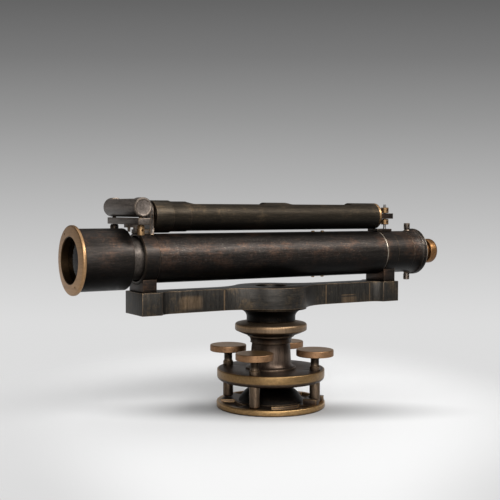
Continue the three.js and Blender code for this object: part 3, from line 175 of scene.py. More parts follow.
class Graph:
    """The node tree of one material."""

    def __init__(self, name):
        self.material = bpy.data.materials.new(f"finish_{name}")
        self.material.use_nodes = True
        self.tree = self.material.node_tree
        self.tree.nodes.clear()

    def add(self, kind, settings, inputs):
        """Adds a node of a type with its settings and the values or links of its sockets."""
        made = self.tree.nodes.new(kind)
        for key, value in settings.items():
            if key == "stops":
                self.set_stops(made, value)
            else:
                setattr(made, key, value)
        for key, value in inputs.items():
            self.feed(made.inputs[key], value)
        return made

    def node(self, kind, settings, inputs, output=0):
        """Adds a node and returns one of its outputs."""
        return Value(self, self.add(kind, settings, inputs).outputs[output])

    def feed(self, socket, value):
        """Links a value to a socket, or sets the socket to a plain number or colour."""
        if isinstance(value, Value):
            self.tree.links.new(value.socket, socket)
        else:
            socket.default_value = value

    def set_stops(self, ramp_node, stops):
        """Sets the places and colours of a ramp."""
        ramp = ramp_node.color_ramp
        while len(ramp.elements) < len(stops):
            ramp.elements.new(0.5)
        for element, (place, colour) in zip(ramp.elements, stops):
            element.position = place
            element.color = (*colour[:3], 1.0)

    def place(self):
        """Position on the piece in millimetres."""
        coordinates = self.node("ShaderNodeTexCoord", {}, {}, "Object")
        return self.scale(coordinates, (1 / MM, 1 / MM, 1 / MM))

    def scale(self, vector, factors):
        return self.node("ShaderNodeVectorMath", {"operation": "MULTIPLY"}, {0: vector, 1: factors})

    def normal(self):
        return self.node("ShaderNodeNewGeometry", {}, {}, "Normal")

    def split(self, vector):
        """X, Y and Z of a vector."""
        made = self.add("ShaderNodeSeparateXYZ", {}, {0: vector})
        return [Value(self, socket) for socket in made.outputs]

    def join(self, x, y, z):
        return self.node("ShaderNodeCombineXYZ", {}, {0: x, 1: y, 2: z})

    def noise(self, vector, scale, detail=3.0, rough=0.55):
        inputs = {"Vector": vector, "Scale": scale, "Detail": detail, "Roughness": rough}
        return self.node("ShaderNodeTexNoise", {}, inputs)

    def mix(self, factor, first, second, blend="MIX"):
        settings = {"data_type": "RGBA", "blend_type": blend}
        return self.node("ShaderNodeMix", settings, {0: factor, 6: first, 7: second}, 2)

    def edge(self, reach):
        """1 along edges and corners within a reach in millimetres, 0 on flat stretches."""
        rounded = self.node("ShaderNodeBevel", {"samples": 4}, {"Radius": reach * MM})
        settings = {"operation": "DOT_PRODUCT"}
        along = self.node("ShaderNodeVectorMath", settings, {0: rounded, 1: self.normal()}, 1)
        return ((1.0 - along) * EDGE_GAIN).clamp()

    def bump(self, height, strength, depth):
        inputs = {"Height": height, "Strength": strength, "Distance": depth * MM}
        return self.node("ShaderNodeBump", {}, inputs)

    def surface(self, settings):
        """Ends the graph in a Principled shader with the given sockets."""
        self.output(self.node("ShaderNodeBsdfPrincipled", {}, settings))
        return self.material

    def output(self, shader):
        self.add("ShaderNodeOutputMaterial", {}, {"Surface": shader})


def distance(first, second):
    """Length of the line across a right angle with these two sides."""
    return (first * first + second * second).maths("SQRT")


def opaque(colour):
    """A colour as a shader socket takes it."""
    return (*colour[:3], 1.0)


def darker(colour, share):
    return [part * share for part in colour[:3]]


# Settings that a user would change


class LevelColours(bpy.types.PropertyGroup):
    """Colours of the metals, glass and studio."""

    black: bpy.props.FloatVectorProperty(
        name="Black bronze", description="Unworn blackened bronze",
        default=(0.038, 0.0325, 0.029), subtype="COLOR", min=0, max=1)
    brown: bpy.props.FloatVectorProperty(
        name="Brown bronze", description="Bronze where the black has thinned",
        default=(0.105, 0.062, 0.043), subtype="COLOR", min=0, max=1)
    rubbed: bpy.props.FloatVectorProperty(
        name="Rubbed edge", description="Bare metal on edges that are handled",
        default=(0.34, 0.225, 0.13), subtype="COLOR", min=0, max=1)
    level: bpy.props.FloatVectorProperty(
        name="Level tube", description="Brown black of the level tube",
        default=(0.056, 0.045, 0.033), subtype="COLOR", min=0, max=1)
    worn_level: bpy.props.FloatVectorProperty(
        name="Worn level tube", description="Brown of the level tube where the black has thinned",
        default=(0.145, 0.103, 0.064), subtype="COLOR", min=0, max=1)
    ring: bpy.props.FloatVectorProperty(
        name="Objective ring", description="Orange brown brass of the ring that holds the lens",
        default=(0.42, 0.25, 0.125), subtype="COLOR", min=0, max=1)
    bare: bpy.props.FloatVectorProperty(
        name="Bare rings", description="Pale metal of the rings that are rubbed bright",
        default=(0.72, 0.62, 0.50), subtype="COLOR", min=0, max=1)
    stage: bpy.props.FloatVectorProperty(
        name="Stage", description="Brushed black of the stage bar",
        default=(0.052, 0.048, 0.043), subtype="COLOR", min=0, max=1)
    worn_stage: bpy.props.FloatVectorProperty(
        name="Worn stage", description="Brushed brown of the stage bar",
        default=(0.125, 0.092, 0.06), subtype="COLOR", min=0, max=1)
    column: bpy.props.FloatVectorProperty(
        name="Column", description="Brown of the column and the plates",
        default=(0.115, 0.082, 0.062), subtype="COLOR", min=0, max=1)
    rim: bpy.props.FloatVectorProperty(
        name="Plate rims", description="Gold of the plates' rims",
        default=(0.31, 0.19, 0.082), subtype="COLOR", min=0, max=1)
    screw: bpy.props.FloatVectorProperty(
        name="Screw stems", description="Brown brass of the screw stems",
        default=(0.125, 0.088, 0.060), subtype="COLOR", min=0, max=1)
    case: bpy.props.FloatVectorProperty(
        name="Cross level", description="Grey-brown of the cross level and the brackets",
        default=(0.125, 0.105, 0.091), subtype="COLOR", min=0, max=1)
    eyepiece: bpy.props.FloatVectorProperty(
        name="Eyepiece", description="Orange brass of the eyepiece",
        default=(0.28, 0.138, 0.052), subtype="COLOR", min=0, max=1)
    flange: bpy.props.FloatVectorProperty(
        name="Bearing flange", description="Brown brass of the bearing flange",
        default=(0.21, 0.145, 0.092), subtype="COLOR", min=0, max=1)
    copper: bpy.props.FloatVectorProperty(
        name="Screw heads", description="Coppery patina of the screw heads",
        default=(0.30, 0.168, 0.088), subtype="COLOR", min=0, max=1)
    gold: bpy.props.FloatVectorProperty(
        name="Aged brass", description="Dull gold of the small fittings",
        default=(0.34, 0.215, 0.095), subtype="COLOR", min=0, max=1)
    # Pale brass is also the painted highlight on the tops of the screw heads
    pale: bpy.props.FloatVectorProperty(
        name="Pale brass", description="Bare brass of worn edges, nuts and the heads' tops",
        default=(0.42, 0.255, 0.125), subtype="COLOR", min=0, max=1)
    steel: bpy.props.FloatVectorProperty(
        name="Steel", description="Turned steel of the spindle, stud and pins",
        default=(0.22, 0.21, 0.2), subtype="COLOR", min=0, max=1)
    spirit: bpy.props.FloatVectorProperty(
        name="Spirit", description="Tint of the liquid in the vials",
        default=(0.80, 0.88, 0.55), subtype="COLOR", min=0, max=1)
    floor: bpy.props.FloatVectorProperty(
        name="Floor", description="Colour of the floor",
        default=(0.80, 0.80, 0.80), subtype="COLOR", min=0, max=1)


class LevelSizes(bpy.types.PropertyGroup):
    """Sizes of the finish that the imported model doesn't carry."""

    milling_depth: bpy.props.FloatProperty(
        name="Milling depth", description="Depth of the milling on rims that are turned by hand",
        default=0.16 * MM, unit="LENGTH", subtype="DISTANCE", min=0)
    bubble_length: bpy.props.FloatProperty(
        name="Bubble length", description="Length of the main level's bubble",
        default=46 * MM, unit="LENGTH", subtype="DISTANCE", min=0)
    focal_length: bpy.props.FloatProperty(
        name="Focal length", description="Focal length of the studio camera in millimetres",
        default=67.26, unit="CAMERA", min=1)


# Mesh building


# Points of a profile this near to the axis are one point
TIP_RADIUS = 1e-6


def arc(centre, radius, start, end, steps=8):
    """Points of a round as (radius, height) pairs, between two angles in degrees."""
    points = []
    for step in range(steps + 1):
        angle = math.radians(start + (end - start) * step / steps)
        points.append((centre[0] + radius * math.cos(angle), centre[1] + radius * math.sin(angle)))
    return points


def cove(wide, narrow, steps=10):
    """A hollow quarter round from a wide place to a narrow one."""
    points = []
    for step in range(steps + 1):
        angle = math.pi / 2 * step / steps
        radius = narrow[0] + (wide[0] - narrow[0]) * (1 - math.sin(angle))
        height = wide[1] + (narrow[1] - wide[1]) * (1 - math.cos(angle))
        points.append((radius, height))
    return points


def axis_point(along, radius, height, angle):
    """A point round the Z, X or Y axis."""
    across = radius * math.cos(angle)
    up = radius * math.sin(angle)
    if along == "z":
        return Vector((across, up, height))
    if along == "x":
        return Vector((height, across, up))
    return Vector((across, height, up))


def object_of(name, mesh_data):
    """Makes a Blender object of a mesh that was built in code."""
    mesh = bpy.data.meshes.new(name)
    bmesh.ops.recalc_face_normals(mesh_data, faces=mesh_data.faces)
    mesh_data.to_mesh(mesh)
    mesh_data.free()
    piece = bpy.data.objects.new(name, mesh)
    bpy.context.scene.collection.objects.link(piece)
    return piece


def turned(name, profile, along="z", centre=(0, 0, 0), sides=ROUND, milling=None):
    """Turns a closed profile of (radius, height) pairs about an axis.

    milling is (depth, low, high): grooves at every other side between two heights.
    """
    mesh_data = bmesh.new()
    middle = Vector(centre)
    rings = []
    for radius, height in profile:
        if radius <= TIP_RADIUS:
            point = (middle + axis_point(along, 0, height, 0)) * MM
            rings.append([mesh_data.verts.new(point)])
            continue
        ring = []
        for side in range(sides):
            reach = radius
            if milling and side % 2 and milling[1] <= height <= milling[2]:
                reach = radius - milling[0]
            point = (middle + axis_point(along, reach, height, math.tau * side / sides)) * MM
            ring.append(mesh_data.verts.new(point))
        rings.append(ring)
    closed = rings if len(rings[0]) > 1 and len(rings[-1]) > 1 else rings[:-1]
    for index in range(len(closed)):
        join_rings(mesh_data, rings[index], rings[(index + 1) % len(rings)], sides)
    return object_of(name, mesh_data)


def join_rings(mesh_data, first, second, sides):
    """Faces between two rings of a turned piece; a ring of one point is a tip."""
    if len(first) == 1 and len(second) == 1:
        return
    for side in range(sides):
        after = (side + 1) % sides
        if len(first) == 1:
            mesh_data.faces.new((first[0], second[side], second[after]))
        elif len(second) == 1:
            mesh_data.faces.new((first[side], second[0], first[after]))
        else:
            mesh_data.faces.new((first[side], second[side], second[after], first[after]))


def prism(name, outline, low, high):
    """Raises an outline of (x, y) pairs between two heights."""
    mesh_data = bmesh.new()
    base = [mesh_data.verts.new(Vector((x, y, low)) * MM) for x, y in outline]
    face = mesh_data.faces.new(base)
    raised = bmesh.ops.extrude_face_region(mesh_data, geom=[face])
    moved = [item for item in raised["geom"] if isinstance(item, bmesh.types.BMVert)]
    bmesh.ops.translate(mesh_data, verts=moved, vec=(0, 0, (high - low) * MM))
    return object_of(name, mesh_data)


def block(name, low, high):
    """A block between two corners."""
    corners = [(low[0], low[1]), (high[0], low[1]), (high[0], high[1]), (low[0], high[1])]
    return prism(name, corners, low[2], high[2])


def bar(name, radius, low, high, along="z", centre=(0, 0, 0), sides=SMALL_ROUND):
    """A round bar between two places on an axis."""
    return turned(name, [(0, low), (radius, low), (radius, high), (0, high)], along, centre, sides)


def apply_modifiers(piece):
    """Replaces a piece's mesh by what its modifiers make of it."""
    depsgraph = bpy.context.evaluated_depsgraph_get()
    mesh = bpy.data.meshes.new_from_object(piece.evaluated_get(depsgraph))
    piece.modifiers.clear()
    piece.data = mesh


def combine(piece, tool, operation):
    """Cuts a piece with a tool, or joins the tool to it, and deletes the tool."""
    modifier = piece.modifiers.new("shape", "BOOLEAN")
    modifier.operation = operation
    modifier.solver = "EXACT"
    modifier.object = tool
    apply_modifiers(piece)
    bpy.data.objects.remove(tool)
    return piece


def cut(piece, tool):
    """Takes a tool's shape out of a piece."""
    return combine(piece, tool, "DIFFERENCE")


def join(piece, tool):
    """Adds a tool's shape to a piece."""
    return combine(piece, tool, "UNION")


def soften(piece, width, segments=2, angle=32):
    """Rounds the sharp edges of a piece."""
    modifier = piece.modifiers.new("soft edges", "BEVEL")
    modifier.width = width * MM
    modifier.segments = segments
    modifier.limit_method = "ANGLE"
    modifier.angle_limit = math.radians(angle)
    modifier.harden_normals = False
    modifier.use_clamp_overlap = True
    apply_modifiers(piece)
    return piece


def smooth(piece, angle=40):
    """Shades a piece smooth, except across edges sharper than an angle."""
    mesh_data = bmesh.new()
    mesh_data.from_mesh(piece.data)
    for face in mesh_data.faces:
        face.smooth = True
    for edge in mesh_data.edges:
        if len(edge.link_faces) == 2:
            edge.smooth = edge.calc_face_angle(0) < math.radians(angle)
    mesh_data.to_mesh(piece.data)
    mesh_data.free()


def dress(piece, body, material, nodes=(), angle=40):
    """Gives a piece its material and its body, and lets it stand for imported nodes."""
    smooth(piece, angle)
    piece.data.materials.clear()
    piece.data.materials.append(material)
    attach(piece, body)
    if nodes:
        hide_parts(*nodes)
    return piece


# Finishes


# How much noise is stretched along its streaks, and where the stage's boss ends
STRETCH = 0.08
BOSS_EDGE = (31.0, 36.0)
# Noises of aged metal: scale, detail and roughness
LINES = (0.9, 2.0, 0.5)
HAIRS = (6.0, 2.0, 0.4)
SPECKS = (1.9, 2.0, 0.6)
BRUSHED = (2.4, 4.0, 0.7)
PATCHES = (0.55, 3.0, 0.65)
# Where the patina starts to thin, how far the setting moves that, and the width of the change
THIN_START = 0.62
THIN_SHIFT = 0.25
THIN_BAND = 0.18
# Shares of the layers, the darkest tone of the streaks and the depth of the relief
HAIR_SHARE = 0.2
SPECK_SHARE = 0.6
SPECK_TONE = 0.35
BRUSHED_GAIN = 7.0
PATCHES_GAIN = 6.0
DARKEST = 0.15
RELIEF_DEPTH = 0.12
# Dark bands across the eyepiece: place along X, half width and share
EYEPIECE_BANDS = ((170.0, 2.6, 0.75), (185.0, 3.0, 0.5), (175.0, 1.2, 0.5))
# Bright lines across the stage bar at the bends of its outline, painted highlight and wear,
# and its rubbed patches: place along X,
# height above the underside, half length, half height and share
STAGE_ARM_LINES = 52.5
STAGE_END_LINE = 102.0
STAGE_LINE_HALF = 0.8
STAGE_PATCHES = (
    (-84.0, 8.0, 13.0, 7.0, 0.5),
    (78.0, 3.0, 10.0, 3.5, 0.45),
    (77.0, 7.3, 9.0, 0.7, 0.5),
)
# The main vial's scale: distance between two lines, and where the scale starts and ends
TICK_STEP = 2.0
SCALE_START = 22.0
SCALE_END = 60.0


def colours():
    """The colours that the panel shows."""
    return bpy.context.scene.level_colours


def sizes():
    """The sizes that the panel shows."""
    return bpy.context.scene.level_sizes


def kept(name):
    """A finish that was already made, or None."""
    return bpy.data.materials.get(f"finish_{name}")


def streaked(graph, place, along):
    """Position stretched so that noise runs in streaks along an axis.

    along "boss" is for the stage bar: upright on the arms and level round the boss.
    """
    if along == "boss":
        x, y, z = graph.split(place)
        round_boss = 1.0 - abs(x).smooth(*BOSS_EDGE)
        level = 1.0 - round_boss * (1 - STRETCH)
        return graph.join(x * level, y * level, z * (STRETCH + round_boss * (1 - STRETCH)))
    factors = {"x": (STRETCH, 1.0, 1.0), "y": (1.0, STRETCH, 1.0), "z": (1.0, 1.0, STRETCH)}
    return graph.scale(place, factors[along])


def near(value, place, half):
    """1 where a value lies close to a place, and 0 further than half away."""
    return 1.0 - abs(value - place).smooth(half * 0.5, half)


def ring_mask(place, half, axis_height, radius, strength):
    """A mask of a ring that is rubbed bright, on the outside of a tube along X."""
    def mask(spot):
        outside = distance(spot.y, spot.z - axis_height).smooth(radius - 1.5, radius - 0.9)
        return near(spot.x, place, half) * outside * strength

    return mask


def aged_metal(name, under, over, bare, wear=0.5, blotch=0.05, streak="x", rough=(0.34, 0.56),
               thin=0.5, reach=1.1, lift=0.25, shade=0.7, grain=0.35, bright=None, dark=None):
    """Metal with a thinning patina, rubbed edges, brushed streaks, specks and fine scratches.

    under is the patina, over the patina where it has thinned, and bare the metal itself.
    wear is how much of the edges is rubbed, within a reach in millimetres; blotch is the
    scale of the clouds; shade is how much painted shade darkens the faces that look down.
    bright and dark give, for a Spot with its position in millimetres and how far the face
    looks up, where paler metal shows, rubbed bare or as a painted highlight, and where the
    metal is darker, with painted shade in some places.
    """
    found = kept(name)
    if found:
        return found
    graph = Graph(name)
    place = graph.place()
    spot = Spot(*graph.split(place), graph.split(graph.normal())[2])
    lengthwise = streaked(graph, place, streak)

    # Patina
    broad = graph.noise(place, blotch, 4.0, 0.6)
    fine = graph.noise(place, blotch * 9, 3.0, 0.6)
    cloud = broad * 0.6 + fine * 0.25 + graph.noise(lengthwise, *LINES) * 0.15
    start = THIN_START - thin * THIN_SHIFT
    base = graph.mix(cloud.smooth(start, start + THIN_BAND), opaque(under), opaque(over))

    # Wear, and the paler places that bright adds, painted highlights among them
    wear_and_highlight = graph.edge(reach) * (0.35 + fine * 1.1) * wear * 2.0
    if bright:
        wear_and_highlight = wear_and_highlight + bright(spot) * (0.65 + fine * 0.55)
    wear_and_highlight = wear_and_highlight.clamp()
    worn = graph.mix(wear_and_highlight, base, opaque(bare))
    hairs = graph.noise(lengthwise, *HAIRS).smooth(0.62, 0.72)
    scratched = graph.mix(hairs * HAIR_SHARE, worn, opaque(bare))
    specks = graph.noise(place, *SPECKS).smooth(0.68, 0.76)
    specked = graph.mix(specks * SPECK_SHARE, scratched, opaque(darker(under, SPECK_TONE)))

    # Streaks, and painted shade that darkens the faces that look down
    brushed = graph.noise(lengthwise, *BRUSHED)
    patches = graph.noise(lengthwise, *PATCHES)
    tone = 1.0 + (brushed - 0.5) * (grain * BRUSHED_GAIN) + (patches - 0.5) * (grain * PATCHES_GAIN)
    tone = tone.maths("MAXIMUM", DARKEST) * (1.0 - shade + spot.up.smooth(-0.55, 0.42) * shade)
    if dark:
        tone = tone * (1.0 - dark(spot))

    roughness = rough[0] + (rough[1] - rough[0]) * (fine * 0.5 + broad * 0.5) - wear_and_highlight * 0.06
    relief = fine * 0.5 + hairs * -0.2 + specks * -0.4 + brushed * 0.3
    return graph.surface({
        "Base Color": graph.mix(1.0, specked, tone, "MULTIPLY"),
        "Metallic": 0.96,
        "Roughness": roughness.clamp(),
        "Normal": graph.bump(relief, lift, RELIEF_DEPTH),
    })


def black_bronze(streak="x", name="", bright=None, ring=None):
    """Blackened bronze of the tubes; a ring that is rubbed bright is paler than an edge."""
    c = colours()
    bare = (ring or c.bare) if bright else c.rubbed
    return aged_metal(name or f"black_bronze_{streak}", c.black, c.brown, bare, wear=0.16,
                      streak=streak, thin=0.58, lift=0.15, shade=0.93, grain=0.25, bright=bright)


def level_bronze():
    """Browner and more rubbed than the telescope, as the level tube is handled most."""
    c = colours()
    return aged_metal("level_bronze", c.level, c.worn_level, c.rubbed, wear=0.16, lift=0.15,
                      shade=0.9, grain=0.24)


def case_bronze(name="case_bronze", share=1.0):
    """Grey-brown bronze of the cross level and the brackets; share makes it paler."""
    c = colours()
    return aged_metal(name, darker(c.case, share), darker(c.case, share * 0.5), c.rubbed,
                      wear=0.4, streak="y", grain=0.28)


def eyepiece_brass():
    """Orange brass of the eyepiece with a dark flange and groove."""
    def bands(spot):
        return sum(near(spot.x, place, half) * share for place, half, share in EYEPIECE_BANDS)

    c = colours()
    return aged_metal("eyepiece_brass", c.eyepiece, darker(c.eyepiece, 0.45), c.pale, wear=0.35,
                      blotch=0.15, streak="y", rough=(0.36, 0.5), thin=0.4, shade=0.4, grain=0.2,
                      dark=bands)


def shade_darkened_bronze():
    """Black bronze darkened nearly to black as painted shade, between the plates and under the stage
    bar.
    """
    c = colours()
    return aged_metal("shade_darkened_bronze", darker(c.black, 0.15), darker(c.brown, 0.12), c.rubbed,
                      wear=0.1, streak="z", rough=(0.45, 0.6), thin=0.4, shade=0.8)


def column_bronze():
    """Brown bronze of the column, darker towards its shoulder with painted shade under the flange.
    """
    # Painted shade under the flange: darker up towards the shoulder
    def shoulder(spot):
        return (spot.z - FLANGE_LOW + 17.0).smooth(0.0, 8.0) * 0.55

    c = colours()
    return aged_metal("column_bronze", c.column, darker(c.column, 0.5), c.rubbed, wear=0.3,
                      streak="z", thin=0.4, shade=0.5, grain=0.25, dark=shoulder)


def stage_bronze():
    """Brushed bronze of the stage bar with rubbed patches, and bright lines at the bends of its
    outline, painted highlight and wear.
    """
    def marks(spot):
        # The lines at the bends of the outline: painted highlight and wear
        lines = near(abs(spot.x), STAGE_ARM_LINES, STAGE_LINE_HALF) * 0.7
        rubbed = lines + near(spot.x, STAGE_END_LINE, STAGE_LINE_HALF) * 0.5
        for place, height, half_length, half_height, share in STAGE_PATCHES:
            upright = near(spot.z, STAGE_LOW + height, half_height)
            rubbed = rubbed + near(spot.x, place, half_length) * upright * share
        below_top = 1.0 - (spot.z - STAGE_TOP + 1.2).smooth(0.0, 0.3)
        return rubbed * below_top

    c = colours()
    return aged_metal("stage_bronze", c.stage, c.worn_stage, c.rubbed, blotch=0.045,
                      streak="boss", thin=0.55, grain=0.26, bright=marks)


def plate_bronze(name="plate_bronze", inner=0.0, low=0.0, share=1.0):
    """Dark bronze of the plates, with a golden rim outside a radius and above a height."""
    def rim(spot):
        outside = distance(spot.x, spot.y).smooth(inner - 0.4, inner)
        return outside * (spot.z - low).smooth(0.0, 1.5)

    c = colours()
    return aged_metal(name, darker(c.column, 0.75), darker(c.brown, 0.6), darker(c.rim, share),
                      wear=0.45, blotch=0.06, thin=0.45, reach=1.6, shade=0.4, grain=0.2,
                      bright=rim if inner else None)


def screw_bronze():
    """Brown brass of the screw stems, dark towards the head with painted shade under it."""
    # Painted shade under the head: darker up towards it
    def neck(spot):
        return (spot.z - PLATE_TOP - 4.5).smooth(0.0, 3.0) * 0.8

    c = colours()
    return aged_metal("screw_bronze", c.screw, darker(c.screw, 0.4), c.rim, wear=0.3,
                      streak="z", thin=0.4, shade=0.3, dark=neck)


def copper_brass():
    """Reddish brass of the screw heads, with a painted highlight that makes their tops paler."""
    # Painted highlight: faces that look up turn towards the pale brass
    def top(spot):
        return spot.up.smooth(0.8, 0.98) * 0.95

    c = colours()
    return aged_metal("copper_brass", c.copper, darker(c.copper, 0.4), c.pale, wear=0.25,
                      blotch=0.3, rough=(0.34, 0.52), thin=0.45, shade=0.3, grain=0.1, bright=top)


def gold_brass():
    """Dull gold of the knob, the ball and the small screws."""
    c = colours()
    return aged_metal("gold_brass", c.gold, darker(c.gold, 0.3), c.pale, wear=0.4, blotch=0.08,
                      rough=(0.30, 0.5), thin=0.35, shade=0.4)


def flange_brass():
    """Brown brass of the bearing flange, dark below with painted shade, and rubbed on its lip."""
    # Painted shade: darker towards the flange's underside
    def under(spot):
        return (1.0 - (spot.z - FLANGE_LOW - 2.0).smooth(0.0, 3.5)) * 0.8

    def lip(spot):
        return near(spot.z, FLANGE_TOP - 3.2, 1.4) * 0.35

    c = colours()
    return aged_metal("flange_brass", c.flange, darker(c.flange, 0.4), c.pale, wear=0.3,
                      blotch=0.08, streak="z", thin=0.4, shade=0.4, grain=0.2,
                      bright=lip, dark=under)


def nut_brass():
    """Dull yellow brass of the capstan nuts and the near capstan screw."""
    c = colours()
    return aged_metal("nut_brass", darker(c.pale, 0.6), darker(c.pale, 0.25), c.pale, wear=0.4,
                      blotch=0.12, streak="y", rough=(0.38, 0.55), thin=0.4, shade=0.3, grain=0.25)


def ring_brass():
    """Brass of the objective's ring, darker inside its bore."""
    def bore(spot):
        outside = distance(spot.y, spot.z - TELESCOPE_Z).smooth(18.5, 19.0)
        return (1.0 - outside) * 0.85

    c = colours()
    return aged_metal("ring_brass", c.ring, darker(c.ring, 0.5), c.pale, wear=0.4, blotch=0.12,
                      streak="y", rough=(0.32, 0.48), thin=0.3, shade=0.3, grain=0.12, dark=bore)


def turned_steel():
    """Steel of the spindle, the stud and the pins."""
    c = colours()
    return aged_metal("turned_steel", c.steel, darker(c.steel, 0.4), c.steel, wear=0.3,
                      blotch=0.1, streak="z", rough=(0.3, 0.45), thin=0.3, shade=0.3)


def lens_glass():
    """Clear glass with a little dust."""
    found = kept("lens_glass")
    if found:
        return found
    graph = Graph("lens_glass")
    dust = graph.noise(graph.place(), 0.35, 4.0, 0.6)
    return graph.surface({
        "Base Color": (0.45, 0.48, 0.50, 1.0),
        "Roughness": 0.02 + dust.smooth(0.45, 0.8) * 0.06,
        "IOR": 1.05,
        "Transmission Weight": 1.0,
        "Coat Weight": 0.25,
        "Coat Roughness": 0.02,
    })


def vial_glass():
    """Glass full of spirit, with a scale on top of the main vial."""
    found = kept("vial_glass")
    if found:
        return found
    graph = Graph("vial_glass")
    x, y, z = graph.split(graph.place())
    ticks = abs((x * (1 / TICK_STEP)).maths("FRACT") - 0.5).smooth(0.42, 0.46)
    sideways = abs(x)
    span = sideways.smooth(SCALE_START, SCALE_START + 1.0)
    span = span * (1.0 - sideways.smooth(SCALE_END, SCALE_END + 1.0))
    drawn = ticks * span * (z - LEVEL_Z).smooth(5.6, 6.4)
    return graph.surface({
        "Base Color": graph.mix(drawn, opaque(colours().spirit), (0.03, 0.03, 0.02, 1.0)),
        "Roughness": 0.05 + drawn * 0.3,
        "IOR": 1.4,
        "Transmission Weight": 0.75,
        "Coat Weight": 1.0,
        "Coat Roughness": 0.03,
    })


def bubble_air():
    """Pale, slightly hazy air."""
    found = kept("bubble_air")
    if found:
        return found
    graph = Graph("bubble_air")
    haze = graph.noise(graph.place(), 0.2, 2.0, 0.5)
    return graph.surface({
        "Base Color": graph.mix(haze * 0.3, (0.95, 0.98, 0.85, 1.0), (0.8, 0.86, 0.66, 1.0)),
        "Roughness": 0.08,
        "Coat Weight": 1.0,
    })


# Levelling base


def make_lower_plate():
    radius = radius_mm("lower_plate")
    edge = 1.0
    bore = 20.5
    plate = turned("plate_lower_turned", [
        (bore, 0.0),
        *arc((radius - edge, edge), edge, -90, 0, 4),
        *arc((radius - edge, LOWER_TOP - edge), edge, 0, 90, 4),
        (bore, LOWER_TOP),
    ])
    pocket_inner = 31.5
    pocket_outer = 43.5
    pocket_depth = 2.4
    half_sweep = math.degrees(0.42)
    for index in range(SCREWS):
        middle = math.degrees(SCREW_LINE) + 45 + index * 90
        outline = arc((0, 0), pocket_outer, middle - half_sweep, middle + half_sweep, 12)
        outline += arc((0, 0), pocket_inner, middle + half_sweep, middle - half_sweep, 12)
        cut(plate, prism("pocket", outline, LOWER_TOP - pocket_depth, LOWER_TOP + pocket_depth))
    soften(plate, 0.25)
    finish = plate_bronze("lower_plate_bronze", pocket_outer + 0.1, 0.3, 1.35)
    dress(plate, "base", finish, ["lower_plate"])


def make_socket_cap():
    low, high = box_mm("ball_socket_cap")
    base = radius_mm("ball_socket_cap")
    mouth = 11.5
    rise = high.z - low.z
    chord = math.hypot(base - mouth, rise)
    bulge = chord * 0.13
    steps = 16
    outside = []
    for step in range(steps + 1):
        share = step / steps
        lift = bulge * 4 * share * (1 - share)
        radius = base + (mouth - base) * share + rise / chord * lift
        height = low.z + rise * share + (base - mouth) / chord * lift
        outside.append((radius, height))
    socket = 14.8
    mouth_angle = math.degrees(math.acos(mouth / socket))
    inside = arc((0, BALL_Z), socket, mouth_angle, 0, 10)
    cap = turned("socket_cap_turned", outside + inside + [(socket, low.z)])
    dress(cap, "base", shade_darkened_bronze(), ["ball_socket_cap"])


def make_half_ball():
    low, high = box_mm("half_ball")
    radius = 14.5
    neck = 8.5
    start = math.degrees(math.asin((low.z - BALL_Z) / radius))
    end = math.degrees(math.acos(neck / radius))
    ball = turned("half_ball_turned", [
        (0, low.z),
        *arc((0, BALL_Z), radius, start, end, 16),
        (neck, high.z),
        (0, high.z),
    ])
    dress(ball, "ball", gold_brass(), ["half_ball"])


def make_stop_block():
    length = 23.0
    depth = 14.0
    height = 5.0
    slot = 5.9
    plate_radius = 46.5
    outer = SCREW_CIRCLE + depth / 2
    top = LOWER_TOP + height
    low_corner = (outer - depth, -length / 2, LOWER_TOP)
    body = block("stop_block_milled", low_corner, (outer, length / 2, top))
    rim = bar("rim", plate_radius, LOWER_TOP - PAST, top + PAST, sides=ROUND)
    combine(body, rim, "INTERSECT")
    cut(body, block("slot", (SCREW_CIRCLE, -slot, 0), (outer + PAST, slot, top + PAST)))
    cut(body, bar("round", slot, 0, top + PAST, centre=(SCREW_CIRCLE, 0, 0)))
    body.data.transform(Matrix.Rotation(SCREW_LINE - math.pi / 2, 4, "Z"))
    soften(body, 0.5)
    dress(body, "base", plate_bronze(), ["foot_stop_block"])


def screw_centre(index):
    """Where a levelling screw's axis meets the ground."""
    angle = SCREW_LINE + index * math.tau / SCREWS
    return Vector((SCREW_CIRCLE * math.cos(angle), SCREW_CIRCLE * math.sin(angle), 0))


def make_upper_plate():
    low, high = box_mm("upper_plate")
    radius = radius_mm("upper_plate")
    under = 4.0
    edge = 1.0
    bore = 14.3
    plate = turned("plate_upper_turned", [
        (bore, low.z),
        *arc((radius - under, low.z + under), under, -90, 0, 8),
        *arc((radius - edge, high.z - edge), edge, 0, 90, 4),
        (bore, high.z),
    ])
    hole = 4.8
    for index in range(SCREWS):
        cut(plate, bar("hole", hole, low.z - PAST, high.z + PAST, centre=screw_centre(index)))
    soften(plate, 0.3)
    finish = plate_bronze("upper_plate_bronze", radius - 1.4, low.z + 2.5, 0.85)
    dress(plate, "levelling_head", finish, ["upper_plate"])


def make_column():
    low, high = box_mm("column")
    nut_room = 10.5
    spigot = 14.0
    foot = 22.0
    shaft = 17.7
    waist = 16.6
    shoulder = 18.0
    collar = 20.4
    step = FLANGE_LOW - 6.0
    journal = 15.0
    taper_top = 11.3
    taper_foot = 7.3
    column = turned("column_turned", [
        (nut_room, low.z),
        (spigot, low.z),
        (spigot, PLATE_TOP),
        (foot, PLATE_TOP),
        *arc((foot - 0.7, PLATE_TOP + 0.8), 0.7, 0, 90, 4),
        *cove((foot - 1.2, PLATE_TOP + 1.5), (shaft, PLATE_TOP + 6.5)),
        (waist + 0.5, step - 5.0),
        (waist, step - 1.6),
        (waist + 0.2, step - 0.9),
        (shoulder, step - 0.2),
        (shoulder, step + 0.6),
        *cove((collar, FLANGE_LOW - 0.8), (shoulder - 0.2, step + 0.6), 8)[::-1],
        (collar, FLANGE_LOW),
        (journal, FLANGE_LOW),
        (journal, high.z),
        (taper_top, high.z),
        (taper_foot, SPINDLE_SHOULDER),
        (nut_room, SPINDLE_SHOULDER),
    ])
    dress(column, "levelling_head", column_bronze(), ["column"], 30)


